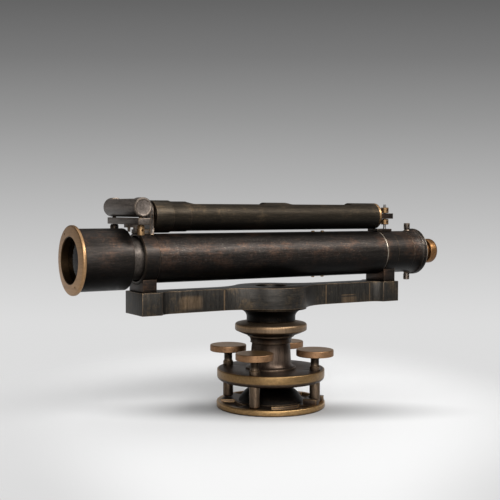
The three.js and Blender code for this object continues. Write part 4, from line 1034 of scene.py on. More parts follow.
def make_flange():
    low, high = box_mm("bearing_flange")
    radius = radius_mm("bearing_flange")
    bore = 15.3
    seat = 20.4
    under_round = 1.6
    top_round = 2.0
    flange = turned("flange_turned", [
        (bore, low.z),
        (seat, low.z),
        (26.8, low.z + 2.5),
        (29.4, low.z + 3.7),
        *arc((radius - under_round, low.z + 5.6), under_round, -62, 0, 6),
        *arc((radius - top_round, high.z - 3.4), top_round, 0, 66, 8),
        (25.5, high.z - 0.7),
        (22.5, high.z),
        (bore, high.z),
    ])
    dress(flange, "levelling_head", flange_brass(), ["bearing_flange"], 30)


def make_levelling_screw(index):
    number = index + 1
    centre = screw_centre(index)
    low, high = box_mm(f"levelling_screw_{number}")
    head_low, head_high = box_mm(f"screw_head_{number}")
    radius = 4.5
    foot_round = 1.6
    waist = 3.6
    collar = 5.6
    spigot = 3.0
    neck = head_low.z - FIT
    shank = turned(f"screw_shank_{number}", [
        (0, low.z),
        *arc((radius - foot_round, low.z + foot_round), foot_round, -90, 0, 6),
        (radius, PLATE_BOTTOM - 0.5),
        (radius - 0.3, PLATE_BOTTOM + 1.6),
        (radius - 0.3, PLATE_TOP),
        (radius, PLATE_TOP + 1.2),
        (radius, PLATE_TOP + 3.6),
        *cove((radius, PLATE_TOP + 3.6), (waist, PLATE_TOP + 5.6), 5),
        (waist, neck - 3.0),
        *cove((collar, neck - 0.6), (waist, neck - 3.0), 6)[::-1],
        (collar, neck),
        (spigot, neck),
        (spigot, high.z),
        (0, high.z),
    ], centre=centre, sides=SMALL_ROUND)
    nodes = [f"levelling_screw_{number}"]
    dress(shank, f"screw_{number}", screw_bronze(), nodes, 30)
    head_radius = radius_mm(f"screw_head_{number}")
    depth = sizes().milling_depth / MM
    edge = 0.7
    bore = spigot + FIT
    bore_top = head_low.z + 3.0
    ridges = 100
    head = turned(f"screw_head_milled_{number}", [
        (bore, head_low.z),
        (head_radius - edge - 0.4, head_low.z),
        *arc((head_radius - edge, head_low.z + edge), edge, -80, 0, 3),
        *arc((head_radius - edge, head_high.z - edge), edge, 0, 80, 3),
        (head_radius - edge - 1.2, head_high.z),
        (6.0, head_high.z - 0.12),
        (0, head_high.z - 0.2),
        (0, bore_top),
        (bore, bore_top),
    ], centre=centre, sides=2 * ridges, milling=(depth, head_low.z + edge, head_high.z - edge))
    dress(head, f"head_{number}", copper_brass(), [f"screw_head_{number}"], 60)


# Stage


def stage_outline():
    """Half of the stage bar's outline at +Y from the right end to the left, then mirrored."""
    end = box_mm("stage_bar")[1].x
    pad = 16.25
    pad_length = 15.9
    arm = 9.65
    boss = 32.0
    reach = 12.8
    arc_start = 52.5
    hollow = (arc_start ** 2 + arm ** 2 - boss ** 2) / (2 * (boss - arm))
    centre_y = arm + hollow
    touch = math.degrees(math.atan2(centre_y, arc_start))
    pad_x = end - pad_length - reach
    pad_y = arm + reach
    pad_angle = math.degrees(math.asin((pad_y - pad) / reach))
    half = [(end, pad)]
    half += arc((pad_x, pad_y), reach, -pad_angle, -90, 8)
    half += arc((arc_start, centre_y), hollow, -90, touch - 180, 14)
    half += arc((0, 0), boss, touch, 180 - touch, 22)
    half += arc((-arc_start, centre_y), hollow, -touch, -90, 14)
    half += arc((-pad_x, pad_y), reach, -90, pad_angle - 180, 8)
    half += [(-end, pad)]
    apart = 0.05
    outline = []
    for point in half + [(x, -y) for x, y in reversed(half)]:
        if not outline or math.dist(outline[-1], point) > apart:
            outline.append(point)
    return outline


def make_stage_bar():
    head_room = 13.9
    piece = prism("stage_bar_milled", stage_outline(), STAGE_LOW, STAGE_TOP)
    cut(piece, bar("through", SPINDLE_BORE, STAGE_LOW - PAST, SHELF + PAST, sides=ROUND))
    cut(piece, bar("bore", head_room, SHELF, STAGE_TOP + PAST, sides=ROUND))
    soften(piece, 0.7, 3)
    dress(piece, "carriage", stage_bronze(), ["stage_bar"])


def make_limb_neck():
    low, high = box_mm("limb_neck")
    narrow = 21.3
    wide = 31.0
    neck = turned("limb_neck_turned", [
        (SPINDLE_BORE, low.z),
        (narrow - 0.5, low.z),
        (narrow, low.z + 0.5),
        (narrow, low.z + 3.5),
        *cove((wide, high.z - 1.4), (narrow, low.z + 3.5), 12)[::-1],
        (wide, high.z),
        (SPINDLE_BORE, high.z),
    ])
    dress(neck, "carriage", shade_darkened_bronze(), ["limb_neck"], 30)


def make_spindle():
    low, high = box_mm("spindle")
    thread = 4.0
    taper_foot = 7.0
    shaft = 11.0
    head = 13.6
    dish = 1.2
    piece = turned("spindle_turned", [
        (0, low.z),
        (thread, low.z),
        (thread, SPINDLE_SHOULDER),
        (taper_foot, SPINDLE_SHOULDER),
        (shaft, FLANGE_TOP),
        (shaft, SHELF),
        (head, SHELF),
        *arc((head - 0.8, high.z - 0.8), 0.8, 0, 90, 4),
        (6.0, high.z),
        (5.2, high.z - dish),
        (0, high.z - dish),
    ], sides=FITTING_ROUND)
    dress(piece, "carriage", turned_steel(), ["spindle"])


# Telescope


def scope_turned(name, profile, sides=ROUND):
    """Turns a profile about the telescope's axis."""
    return turned(name, profile, "x", (0, 0, TELESCOPE_Z), sides)


def scope_bar(name, radius, low, high, sides=ROUND):
    """A round bar on the telescope's axis."""
    return bar(name, radius, low, high, "x", (0, 0, TELESCOPE_Z), sides)


def scope_block(name, low, high):
    """A block with heights counted from the telescope's axis."""
    corners = [(x, y, TELESCOPE_Z + height) for x, y, height in (low, high)]
    return block(name, *corners)


def make_main_tube():
    low, high = box_mm("main_tube")
    radius = (high.z - low.z) / 2
    inner = 18.6
    soft = 0.3
    tube = scope_turned("main_tube_drawn", [
        (inner, low.x),
        (radius - soft, low.x),
        (radius, low.x + soft),
        (radius, high.x - soft),
        (radius - soft, high.x),
        (inner, high.x),
    ])
    shaft_hole = 2.1
    inside = 8.0
    pinion = middle_mm("focus_pinion")
    centre = (pinion.x, 0, pinion.z)
    cut(tube, bar("shaft_hole", shaft_hole, inside, radius + PAST, "y", centre))
    screw_hole = 1.2
    for number in range(1, TUBE_SCREWS + 1):
        middle = middle_mm(f"bush_screw_{number}")
        ends = (middle.z - PAST, middle.z + PAST)
        cut(tube, bar("screw_hole", screw_hole, *ends, centre=(middle.x, 0, 0), sides=16))
    bright = ring_mask(high.x, 1.3, TELESCOPE_Z, radius, 1.8)
    finish = black_bronze("x", "main_tube_bronze", bright=bright)
    dress(tube, "carriage", finish, ["main_tube"])


def make_left_collar():
    low, high = box_mm("left_collar")
    radius = high.y
    front = low.x
    rear = high.x
    soft = 0.6
    ring = scope_turned("left_collar_milled", [
        (TUBE_SEAT, front),
        (radius - soft, front),
        (radius, front + soft),
        (radius, rear - soft),
        (radius - soft, rear),
        (TUBE_SEAT, rear),
    ])
    foot = block("foot", (front + 0.9, -FOOT_HALF, low.z), (rear, FOOT_HALF, FOOT_TOP))
    cut(foot, scope_bar("saddle", TUBE_SEAT + 0.2, front - PAST, rear + PAST))
    soften(foot, 0.5)
    join(ring, foot)
    dress(ring, "carriage", black_bronze("x"), ["left_collar"])


def make_right_collar():
    low, high = box_mm("right_collar")
    front = box_mm("main_tube")[1].x + FIT
    radius = high.y
    rear = high.x - 9.0
    bore = 15.6
    front_spigot = 18.3
    rear_spigot = 17.4
    soft = 0.5
    ring = scope_turned("right_collar_milled", [
        (bore, low.x),
        (front_spigot, low.x),
        (front_spigot, front),
        (radius - soft, front),
        (radius, front + soft),
        (radius, rear - soft),
        (radius - soft, rear),
        (rear_spigot, rear),
        (rear_spigot, high.x),
        (bore, high.x),
    ])
    foot_front = rear - 12.9
    foot = block("foot", (foot_front, -FOOT_HALF, low.z), (rear, FOOT_HALF, FOOT_TOP))
    cut(foot, scope_bar("saddle", TUBE_SEAT, foot_front - PAST, front))
    cut(foot, scope_bar("bore", front_spigot - FIT, foot_front - PAST, rear + PAST))
    soften(foot, 0.5)
    join(ring, foot)
    dress(ring, "carriage", black_bronze("x"), ["right_collar"])


def make_bush_screw(number):
    """One of the small slotted screws above and below the telescope's tube."""
    low, high = box_mm(f"bush_screw_{number}")
    middle = (low + high) / 2
    above = middle.z > TELESCOPE_Z
    sign = 1 if above else -1
    inner, top = (low.z, high.z) if above else (high.z, low.z)
    stem = 0.9
    head = 1.6
    head_height = 0.9
    seat = top - head_height * sign
    screw = turned(f"tube_screw_{number}", [
        (0, inner),
        (stem, inner),
        (stem, seat),
        (head, seat),
        (head, top - 0.4 * sign),
        (head - 0.4, top - 0.1 * sign),
        (0, top),
    ], centre=(middle.x, 0, 0), sides=PIN_ROUND)
    half = 0.2
    deep = 0.45
    low_corner = (middle.x - PAST, -half, top - deep)
    cut(screw, block("slot", low_corner, (middle.x + PAST, half, top + deep)))
    dress(screw, "carriage", gold_brass(), [f"bush_screw_{number}"])


def make_eye_tube():
    low, high = box_mm("eye_tube")
    radius = high.y
    inner = radius - 1.8
    tube = scope_turned("eye_tube_drawn", [
        (inner, low.x),
        (radius, low.x),
        (radius, high.x),
        (inner, high.x),
    ])
    dress(tube, "carriage", black_bronze("x"), ["eye_tube"])


# Eye end


def make_eye_cap():
    low, high = box_mm("eye_end_cap")
    tube = 19.5
    radius = high.y
    chamber = 15.9
    rear = high.x - 2.6
    chamber_end = rear - 2.4
    bore = 10.1
    lip = 11.6
    cap = scope_turned("eye_cap_turned", [
        (chamber, low.x),
        (tube, low.x),
        *cove((radius - 0.2, rear - 4.8), (tube, low.x), 12)[::-1],
        (radius, rear - 4.0),
        *arc((radius - 0.7, rear - 0.9), 0.7, 0, 70, 4),
        (radius - 1.2, rear),
        (lip, rear),
        (lip, high.x - 0.4),
        (lip - 0.4, high.x),
        (bore, high.x),
        (bore, chamber_end),
        (chamber, chamber_end),
    ])
    centre = (middle_mm("reticle_ring").x, 0, TELESCOPE_Z)
    screw = 1.5
    screw_seat = 3.2
    inside = 8.0
    outside = 26.0
    for sign in (1, -1):
        hole = sorted((sign * inside, sign * outside))
        cut(cap, bar("screw_hole", screw, *hole, centre=centre, sides=PIN_ROUND))
        seat = sorted((sign * tube, sign * outside))
        cut(cap, bar("screw_seat", screw_seat, *seat, centre=centre))
    bright = ring_mask(rear - 0.4, 1.0, TELESCOPE_Z, radius, 1.0)
    finish = black_bronze("x", "eye_cap_bronze", bright=bright)
    dress(cap, "carriage", finish, ["eye_end_cap"], 32)


def capstan(name, profile, centre, holes_at):
    """A turned screw or nut with two cross holes for a tommy bar."""
    piece = turned(name, profile, centre=centre, sides=SMALL_ROUND)
    hole = 1.0
    reach = 8.0
    middle = Vector(centre) + Vector((0, 0, holes_at))
    for direction in ("x", "y"):
        cut(piece, bar("cross_hole", hole, -reach, reach, direction, middle, DRILL_ROUND))
    return piece


def make_reticle_screw(name, node, sign):
    """The capstan screw above or below the eye end."""
    low, high = box_mm(node)
    middle = (low + high) / 2
    tip, top = (low.z, high.z) if sign > 0 else (high.z, low.z)
    seat_radius = 19.8
    seat = TELESCOPE_Z + sign * seat_radius
    stem = 1.2
    head = 2.9
    screw = capstan(name, [
        (0, tip),
        (stem, tip),
        (stem, seat),
        (head, seat),
        (head - 0.5, seat + sign * 1.0),
        (head, seat + sign * 2.0),
        (head, top - sign * 0.5),
        (head - 0.4, top),
        (0, top),
    ], (middle.x, 0, 0), (seat + top) / 2 + sign * 1.0)
    body = "reticle_top" if sign > 0 else "reticle_bottom"
    dress(screw, body, case_bronze("reticle_screw_bronze", 1.4), [node], 35)


def make_eyepiece():
    low, high = box_mm("eyepiece")
    radius = high.y
    rim = high.x - 9.4
    flange = low.x + 8.3
    bore = 8.0
    sleeve = 9.8
    groove = 9.3
    shell = scope_turned("eyepiece_turned", [
        (bore, low.x),
        (sleeve, low.x),
        (sleeve, flange),
        *arc((10.0, flange + 0.4), 0.4, -90, 0, 3),
        *arc((9.9, flange + 2.7), 0.5, 0, 90, 3),
        (groove, flange + 3.6),
        (groove, rim - 0.4),
        (10.2, rim),
        *arc((radius - 1.2, rim + 1.2), 1.2, -80, 0, 4),
        (radius, high.x - 4.2),
        *arc((radius - 3.2, high.x - 3.2), 3.2, 0, 80, 8),
        (8.4, high.x),
        (5.0, high.x),
        *arc((4.6, high.x - 1.0), 1.0, 90, 180, 4),
        (3.6, high.x - 3.0),
        (bore, high.x - 3.0),
    ])
    dress(shell, "ocular", eyepiece_brass(), ["eyepiece"], 35)


# Objective


def make_barrel():
    low, high = box_mm("objective_barrel")
    radius = high.y
    cell = 20.1
    shelf = low.x + 13.0
    wall = high.x - 2.4
    inner = 18.6
    bore = 17.4
    piece = scope_turned("barrel_turned", [
        (cell, low.x),
        (radius - 0.2, low.x),
        (radius, low.x + 0.3),
        *arc((radius - 0.6, high.x - 0.6), 0.6, 0, 90, 4),
        (bore, high.x),
        (bore, wall),
        (inner, wall),
        (inner, shelf),
        (cell, shelf),
    ])
    dress(piece, "objective_slide", black_bronze("x"), ["objective_barrel"], 35)


def make_ring():
    low, high = box_mm("retaining_ring")
    radius = high.y
    rear = -181.0
    bore = 18.2
    spigot = 19.8
    ring = scope_turned("ring_turned", [
        (bore, low.x + 0.5),
        (bore + 0.5, low.x),
        (bore + 1.6, low.x),
        (radius - 1.6, low.x + 0.7),
        *arc((radius - 1.0, low.x + 1.8), 1.0, -75, 0, 6),
        *arc((radius - 0.8, rear - 0.8), 0.8, 0, 85, 4),
        (spigot, rear),
        (spigot, high.x),
        (bore, high.x),
    ], sides=144)
    hole = 0.9
    deep = 1.9
    hole_circle = 22.9
    for degrees in (62, 242):
        angle = math.radians(degrees)
        y = hole_circle * math.cos(angle)
        z = hole_circle * math.sin(angle) + TELESCOPE_Z
        ends = (low.x - PAST, low.x + deep)
        cut(ring, bar("spanner_hole", hole, *ends, "x", (0, y, z), DRILL_ROUND))
    dress(ring, "objective_slide", ring_brass(), ["retaining_ring"], 35)


def lens(name, radius, front, rear, front_bulge, rear_bulge, body, node):
    """A lens on the telescope's axis with a curved front and rear."""
    steps = 10
    shares = [step / steps for step in range(steps + 1)]
    profile = [(radius * share, front - front_bulge * (1 - share * share)) for share in shares]
    profile += [(radius * share, rear + rear_bulge * (1 - share * share))
                for share in reversed(shares)]
    dress(scope_turned(name, profile, 72), body, lens_glass(), [node], 50)


def make_objective_lenses():
    low, high = box_mm("crown_lens")
    bulge = 1.8
    lens("objective_crown", high.y, low.x + bulge, high.x - bulge, bulge, bulge,
         "objective_slide", "crown_lens")
    low, high = box_mm("flint_lens")
    lens("objective_flint", high.y, low.x, high.x, -bulge, 0, "objective_slide", "flint_lens")


def make_eye_lenses():
    low, high = box_mm("eye_lens")
    bulge = 1.2
    lens("eyepiece_eye_lens", high.y, low.x, high.x - bulge, 0, bulge, "ocular", "eye_lens")
    low, high = box_mm("field_lens")
    bulge = 1.28
    lens("eyepiece_field_lens", high.y, low.x + bulge, high.x, bulge, 0, "ocular", "field_lens")


def make_draw_tube():
    low, high = box_mm("draw_tube")
    radius = high.y
    wall = 1.4
    step = -75.0
    narrow = 13.5
    tube = scope_turned("draw_tube_drawn", [
        (radius - wall, low.x),
        (radius, low.x),
        (radius, step),
        (narrow, step),
        (narrow, high.x),
        (narrow - wall, high.x),
        (narrow - wall, step - wall),
        (radius - wall, step - wall),
    ])
    dress(tube, "objective_slide", case_bronze(), ["draw_tube"])


# Focusing


def make_pinion_box():
    low, high = box_mm("pinion_box")
    middle = (low + high) / 2
    radius = radius_mm("pinion_box")
    bore = 2.1
    inner = low.y - 6.0
    boss = turned("pinion_boss_turned", [
        (bore, inner),
        (radius, inner),
        (radius, high.y - 2.4),
        (radius - 0.7, high.y - 1.6),
        *arc((radius - 1.8, high.y - 1.1), 1.1, 0, 90, 5),
        (bore, high.y),
    ], "y", (middle.x, 0, middle_mm("focus_pinion").z), FITTING_ROUND)
    cut(boss, scope_bar("saddle", TUBE_SEAT, low.x - PAST, high.x + PAST))
    dress(boss, "carriage", black_bronze("x"), ["pinion_box"])


def make_knob():
    low, high = box_mm("focus_knob")
    middle = (low + high) / 2
    radius = radius_mm("focus_knob")
    depth = sizes().milling_depth / MM * 1.6
    bore = 2.1
    bore_end = low.y + 7.3
    hub = 5.0
    edge = 0.8
    head = low.y + 2.0
    ridges = 72
    knob = turned("focus_knob_milled", [
        (bore, low.y),
        (hub, low.y),
        (hub, low.y + 1.6),
        (hub + 0.6, head),
        (radius - 1.0, head),
        *arc((radius - edge, head + edge), edge, -90, 0, 4),
        *arc((radius - edge, high.y - edge), edge, 0, 90, 4),
        (radius - 2.4, high.y),
        (radius - 3.0, high.y - 0.5),
        (0, high.y - 0.3),
        (0, bore_end),
        (bore, bore_end),
    ], "y", (middle.x, 0, middle.z), 2 * ridges, (depth, low.y + 2.9, high.y - 0.9))
    dress(knob, "focus_drive", gold_brass(), ["focus_knob"], 60)


# Main level


def level_turned(name, profile, sides=ROUND):
    """Turns a profile about the main level's axis."""
    return turned(name, profile, "x", (0, 0, LEVEL_Z), sides)


def make_level_tube():
    low, high = box_mm("level_tube")
    ferrule = high.y
    sleeve = 12.4
    radius = 11.9
    inner = radius - 1.5
    soft = 0.3
    ferrule_rear = low.x + 15.8
    sleeve_rear = ferrule_rear + 15.9
    tube = level_turned("level_tube_drawn", [
        (inner, low.x),
        (ferrule - soft, low.x),
        (ferrule, low.x + soft),
        (ferrule, ferrule_rear - soft),
        (ferrule - soft, ferrule_rear),
        (sleeve, ferrule_rear),
        (sleeve, sleeve_rear - soft),
        (sleeve - soft, sleeve_rear),
        (radius, sleeve_rear),
        (radius, high.x - soft),
        (radius - soft, high.x),
        (inner, high.x),
    ])
    half = 5.7
    windows = ((-83.5, -9.0), (13.8, 83.5))
    for start, end in windows:
        outline = arc((start + half, 0), half, 90, 270, 16) + [(end, -half), (end, half)]
        cut(tube, prism("window", outline, LEVEL_Z, LEVEL_Z + radius + PAST))
    soften(tube, 0.25)
    dress(tube, "main_level", level_bronze(), ["level_tube"])


def plug_profile(outer, inward):
    """Profile of a plug with a cup for the vial's end."""
    radius = 10.1
    cup = 8.7
    length = 22.0
    cup_depth = 6.0
    inner = outer + inward * length
    floor = inner - inward * cup_depth
    return [(0, outer), (radius, outer), (radius, inner), (cup, inner), (cup, floor), (0, floor)]


def make_level_plugs():
    low, high = box_mm("level_tube")
    make_hinge_plug(low.x)
    make_tongue_plug(high.x)


def make_hinge_plug(end):
    """The plug with the upright tongue that the level swings on."""
    front = box_mm("level_hinge_plug")[0].x
    plug = level_turned("hinge_plug_milled", plug_profile(end, 1), FITTING_ROUND)
    half_width = 2.7
    half_height = 5.0
    low_corner = (front, -half_width, LEVEL_Z - half_height)
    join(plug, block("tongue", low_corner, (end + 1, half_width, LEVEL_Z + half_height)))
    reach = 9.0
    pin = middle_mm("level_hinge_pin")
    cut(plug, bar("pin_hole", PIN_HOLE, -reach, reach, "y", (pin.x, 0, pin.z), PIN_ROUND))
    soften(plug, 0.25)
    dress(plug, "main_level", black_bronze("x"), ["level_hinge_plug"])


def make_tongue_plug(end):
    """The plug with the ring and the flat tongue that the stud holds."""
    plug_high = box_mm("level_tongue_plug")[1]
    plug = level_turned("tongue_plug_milled", plug_profile(end, -1), FITTING_ROUND)
    radius = plug_high.y
    ring = level_turned("ring", [
        (0, end),
        (radius - 0.2, end),
        (radius, end + 0.5),
        (radius, end + 1.9),
        *arc((radius - 0.8, end + 1.9), 0.8, 0, 80, 5),
        (0, end + 2.7),
    ])
    join(plug, ring)
    half_width = 5.0
    half_height = 2.5
    low_corner = (end + 1, -half_width, LEVEL_Z - half_height)
    high_corner = (plug_high.x, half_width, LEVEL_Z + half_height)
    join(plug, block("tongue", low_corner, high_corner))
    hole = 1.9
    reach = 5.0
    centre = (middle_mm("level_stud").x, 0, LEVEL_Z)
    cut(plug, bar("stud_hole", hole, -reach, reach, centre=centre, sides=32))
    soften(plug, 0.3)
    bright = ring_mask(end + 1.0, 1.3, LEVEL_Z, radius, 1.2)
    finish = black_bronze("x", "tongue_bronze", bright=bright, ring=colours().pale)
    dress(plug, "main_level", finish, ["level_tongue_plug"])


def make_vial():
    low, high = box_mm("level_vial")
    radius = (high.z - low.z) / 2
    tip = 0.6 * radius
    rounded = 2.6
    vial = level_turned("vial_blown", [
        (0, low.x),
        (tip, low.x),
        *arc((radius - rounded, low.x + rounded), rounded, -60, 0, 6),
        *arc((radius - rounded, high.x - rounded), rounded, 0, 60, 6),
        (tip, high.x),
        (0, high.x),
    ], FITTING_ROUND)
    dress(vial, "main_level", vial_glass(), ["level_vial"])
    make_bubble(radius)


def make_bubble(radius):
    """The air bubble, a long lens that shows at the top of the vial."""
    half_length = sizes().bubble_length / MM / 2
    half_width = 3.4
    half_height = 0.8
    height = LEVEL_Z + radius - 0.75
    mesh_data = bmesh.new()
    bmesh.ops.create_uvsphere(mesh_data, u_segments=40, v_segments=20, radius=1.0)
    for vertex in mesh_data.verts:
        x, y, z = vertex.co
        vertex.co = Vector((x * half_length, y * half_width, height + z * half_height)) * MM
    dress(object_of("bubble", mesh_data), "main_level", bubble_air())


def make_hinge_pin():
    low, high = box_mm("level_hinge_pin")
    middle = (low + high) / 2
    radius = 0.8
    soft = 0.3
    pin = turned("hinge_pin_turned", [
        (0, low.y),
        (radius - soft, low.y),
        (radius, low.y + soft),
        (radius, high.y - soft),
        (radius - soft, high.y),
        (0, high.y),
    ], "y", (middle.x, 0, middle.z), PIN_ROUND)
    dress(pin, "carriage", turned_steel(), ["level_hinge_pin"])


def make_stud_and_nuts():
    low, high = box_mm("level_stud")
    centre = (middle_mm("level_stud").x, 0, 0)
    radius = 1.4
    groove = 0.12
    plain_foot = 2.0
    plain_ends = 3.0
    steps = 30
    profile = [(0, low.z), (radius, low.z)]
    for step in range(steps):
        height = low.z + plain_foot + (high.z - low.z - plain_ends) * step / steps
        profile.append((radius - (groove if step % 2 else 0), height))
    profile += [(radius - 0.3, high.z), (0, high.z)]
    stud = turned("stud_threaded", profile, centre=centre, sides=PIN_ROUND)
    dress(stud, "carriage", turned_steel(), ["level_stud"])
    bore = 1.7
    soft = 0.4
    for node, body in (("stud_nut_upper", "upper_nut"), ("stud_nut_lower", "lower_nut")):
        low, high = box_mm(node)
        size = radius_mm(node)
        nut = capstan(f"{node}_turned", [
            (bore, low.z),
            (size - soft, low.z),
            (size, low.z + soft),
            (size, high.z - soft),
            (size - soft, high.z),
            (bore, high.z),
        ], centre, (low.z + high.z) / 2)
        dress(nut, body, nut_brass(), [node], 35)


def make_stud_bracket():
    low, high = box_mm("stud_bracket")
    tube_room = 20.5
    level_room = 12.9
    level_end = box_mm("level_tube")[1].x + 3.7
    hole = 1.7
    floor = high.z - 1.6
    foot = (low.x, low.y, TELESCOPE_Z + 15.8)
    piece = block("stud_bracket_milled", foot, high)
    cut(piece, scope_bar("saddle", tube_room, low.x - PAST, high.x + PAST))
    cut(piece, bar("level_room", level_room, low.x - PAST, level_end, "x", (0, 0, LEVEL_Z), ROUND))
    centre = (middle_mm("level_stud").x, 0, 0)
    cut(piece, bar("stud_hole", hole, floor, high.z + PAST, centre=centre))
    soften(piece, 0.3)
    dress(piece, "carriage", black_bronze("x"), ["stud_bracket"])


# Cross level and its bracket


def make_level_bracket():
    """The bracket on the telescope that carries both levels; heights from the tube's axis."""
    low, high = box_mm("level_bracket")
    half = 7.0
    top = 23.5
    tube_room = 21.3
    cheek = high.y
    cheek_low = 10.0
    crown = 37.1
    rear = high.x
    front = rear - 12.6
    cheek_front = rear - 3.4
    body = scope_block("level_bracket_milled", (front, -half, 0), (rear, half, top))

    # Arm of the cross level
    arm_half = 2.0
    arm_low = 25.2
    arm_top = 27.8
    arm_end = front + 1.8
    arm_near = CROSS_Y - arm_half
    arm_far = CROSS_Y + arm_half
    leg_front = front - 2.0
    leg_low = 20.9
    leg_foot = (leg_front, arm_near, leg_low)
    join(body, scope_block("leg", leg_foot, (arm_end, arm_far, arm_top)))
    join(body, scope_block("arm", (low.x, arm_near, arm_low), (arm_end, arm_far, arm_top)))

    # Cheeks of the hinge
    join(body, scope_block("cheek", (cheek_front, -cheek, cheek_low), (rear, cheek, crown)))
    centre = (0, 0, TELESCOPE_Z + crown)
    join(body, bar("crown", cheek, cheek_front, rear, "x", centre, FITTING_ROUND))
    screw = 1.2
    screw_ends = (21.8, 26.5)
    centre = (CROSS_X + 1.5, CROSS_Y, TELESCOPE_Z)
    join(body, bar("hold_screw", screw, *screw_ends, centre=centre, sides=28))
    cut(body, scope_bar("saddle", tube_room, front - FIT, rear + PAST))
    slot = 3.0
    slot_low = 28.25
    cut(body, scope_block("slot", (cheek_front - PAST, -slot, slot_low),
                          (rear + PAST, slot, slot_low + 11.0)))
    pin = middle_mm("level_hinge_pin")
    ends = (-cheek - PAST, cheek + PAST)
    cut(body, bar("pin_hole", PIN_HOLE, *ends, "y", (pin.x, 0, pin.z), PIN_ROUND))
    soften(body, 0.3)
    dress(body, "carriage", case_bronze(), ["level_bracket"])


def make_cross_bar():
    low, high = box_mm("cross_level_bar")
    piece = block("cross_bar_milled", low, high)
    drill_cross_holes(piece, (low.x + high.x) / 2, low.z - PAST, high.z + PAST)
    soften(piece, 0.5, 3)
    finish = case_bronze("cross_bar_bronze", 1.3)
    dress(piece, "carriage", finish, ["cross_level_bar"])


def drill_cross_holes(piece, x, low, high):
    """The two screw holes of the cross level's bar and case, between two heights."""
    for sign in (-1, 1):
        centre = (x, CROSS_Y + sign * CROSS_SCREWS, 0)
        cut(piece, bar("hole", CROSS_SCREW_HOLE, low, high, centre=centre, sides=PIN_ROUND))


def make_cross_tube():
    low, high = box_mm("cross_level_tube")
    middle = (low + high) / 2
    axis = (middle.x, 0, middle.z)
    radius = radius_mm("cross_level_tube")
    edge = 0.8
    bead = radius - 1.6
    dish = radius - 2.2
    case = turned("cross_case_turned", [
        (0, low.y + 0.5),
        (dish, low.y + 0.4),
        (bead, low.y),
        (radius - edge, low.y),
        (radius, low.y + edge),
        (radius, high.y - edge),
        (radius - edge, high.y),
        (bead, high.y),
        (dish, high.y - 0.4),
        (0, high.y - 0.5),
    ], "y", axis)
    vial_low, vial_high = box_mm("cross_level_vial")
    bore = 5.3
    ends = (vial_low.y - FIT, vial_high.y + FIT)
    cut(case, bar("bore", bore, *ends, "y", axis, FITTING_ROUND))
    half_width = 3.8
    half_length = 22.0
    low_corner = (middle.x - half_width, middle.y - half_length, middle.z)
    high_corner = (middle.x + half_width, middle.y + half_length, high.z + PAST)
    cut(case, block("window", low_corner, high_corner))
    drill_cross_holes(case, middle.x, low.z - PAST, low.z + 2.9)
    soften(case, 0.25)
    finish = case_bronze("cross_case_bronze", 2.1)
    dress(case, "cross_level", finish, ["cross_level_tube"])
    vial_radius = bore - FIT
    tip = 3.6
    rounded = 1.6
    vial = turned("cross_vial_blown", [
        (0, vial_low.y),
        (tip, vial_low.y),
        (vial_radius, vial_low.y + rounded),
        (vial_radius, vial_high.y - rounded),
        (tip, vial_high.y),
        (0, vial_high.y),
    ], "y", axis, 48)
    dress(vial, "cross_level", vial_glass(), ["cross_level_vial"])


def make_cross_screw(node, body, radius, material):
    """A capstan screw under one end of the cross level."""
    low, high = box_mm(node)
    middle = (low + high) / 2
    seat = box_mm("cross_level_bar")[0].z - FIT
    stem = 1.5
    soft = 0.4
    screw = capstan(f"{node}_turned", [
        (0, low.z),
        (radius - soft, low.z),
        (radius, low.z + soft),
        (radius, seat - 1.2),
        (radius - 0.6, seat),
        (stem, seat),
        (stem, high.z),
        (0, high.z),
    ], (middle.x, middle.y, 0), (low.z + seat) / 2)
    dress(screw, body, material, [node], 35)


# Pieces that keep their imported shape


def dress_hidden_pieces():
    """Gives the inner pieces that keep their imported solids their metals."""
    finishes = {
        "spindle_nut": gold_brass(),
        "front_slide_bush": gold_brass(),
        "rear_slide_bush": gold_brass(),
        "reticle_ring": gold_brass(),
        "focus_rack": gold_brass(),
        "focus_pinion": turned_steel(),
    }
    for name, finish in finishes.items():
        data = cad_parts[name].data
        data.materials.clear()
        data.materials.append(finish)


# Studio, in metres


CAMERA_PLACE = (-0.441606, -0.684337, 0.172671)
CAMERA_AZIMUTH = math.radians(-31.535)
CAMERA_PITCH = math.radians(-2.532)
CAMERA_ROLL = math.radians(0.152)
# Lamps: name, place, target, width, height and power
LAMPS = (
    ("key_softbox", (-0.612, -1.374, 0.667), (0, 0, 0.12), 1.4, 1.3, 21),
    ("strip_softbox", (0.63, -1.09, 1.145), (0, 0, 0.16), 1.0, 0.4, 17),
    ("top_softbox", (0.1, 0.1, 1.7), (0, 0, 0.1), 1.5, 1.5, 8),
)
WORLD_COLOUR = (0.95, 0.95, 0.95, 1.0)
WORLD_STRENGTH = 0.15
# Size of the floor, and of the backdrop behind it
FLOOR_HALF_WIDTH = 2.6
FLOOR_FRONT = 2.4
FLOOR_CREASE = 0.6
WALL_DISTANCE = 0.9
WALL_HEIGHT = 2.2
SWEEP_RADIUS = 0.35
# Colour of the floor's grain, and the grain's share and scale
GRAIN_COLOUR = (0.74, 0.74, 0.74, 1.0)
GRAIN_SHARE = 0.06
GRAIN_SCALE = 0.02
# Where the lit floor gives way to the plain one, by distance from the object
FLOOR_BLEND = (0.09, 0.30)
# Tones of the backdrop from the floor up to its top
BACKDROP_TOP = 0.75
BACKDROP_TONES = [
    (0.0, (0.72, 0.72, 0.72)),
    (0.16, (0.56, 0.56, 0.56)),
    (0.30, (0.43, 0.43, 0.43)),
    (0.45, (0.30, 0.30, 0.30)),
    (0.60, (0.19, 0.19, 0.19)),
    (0.75, (0.12, 0.12, 0.12)),
]
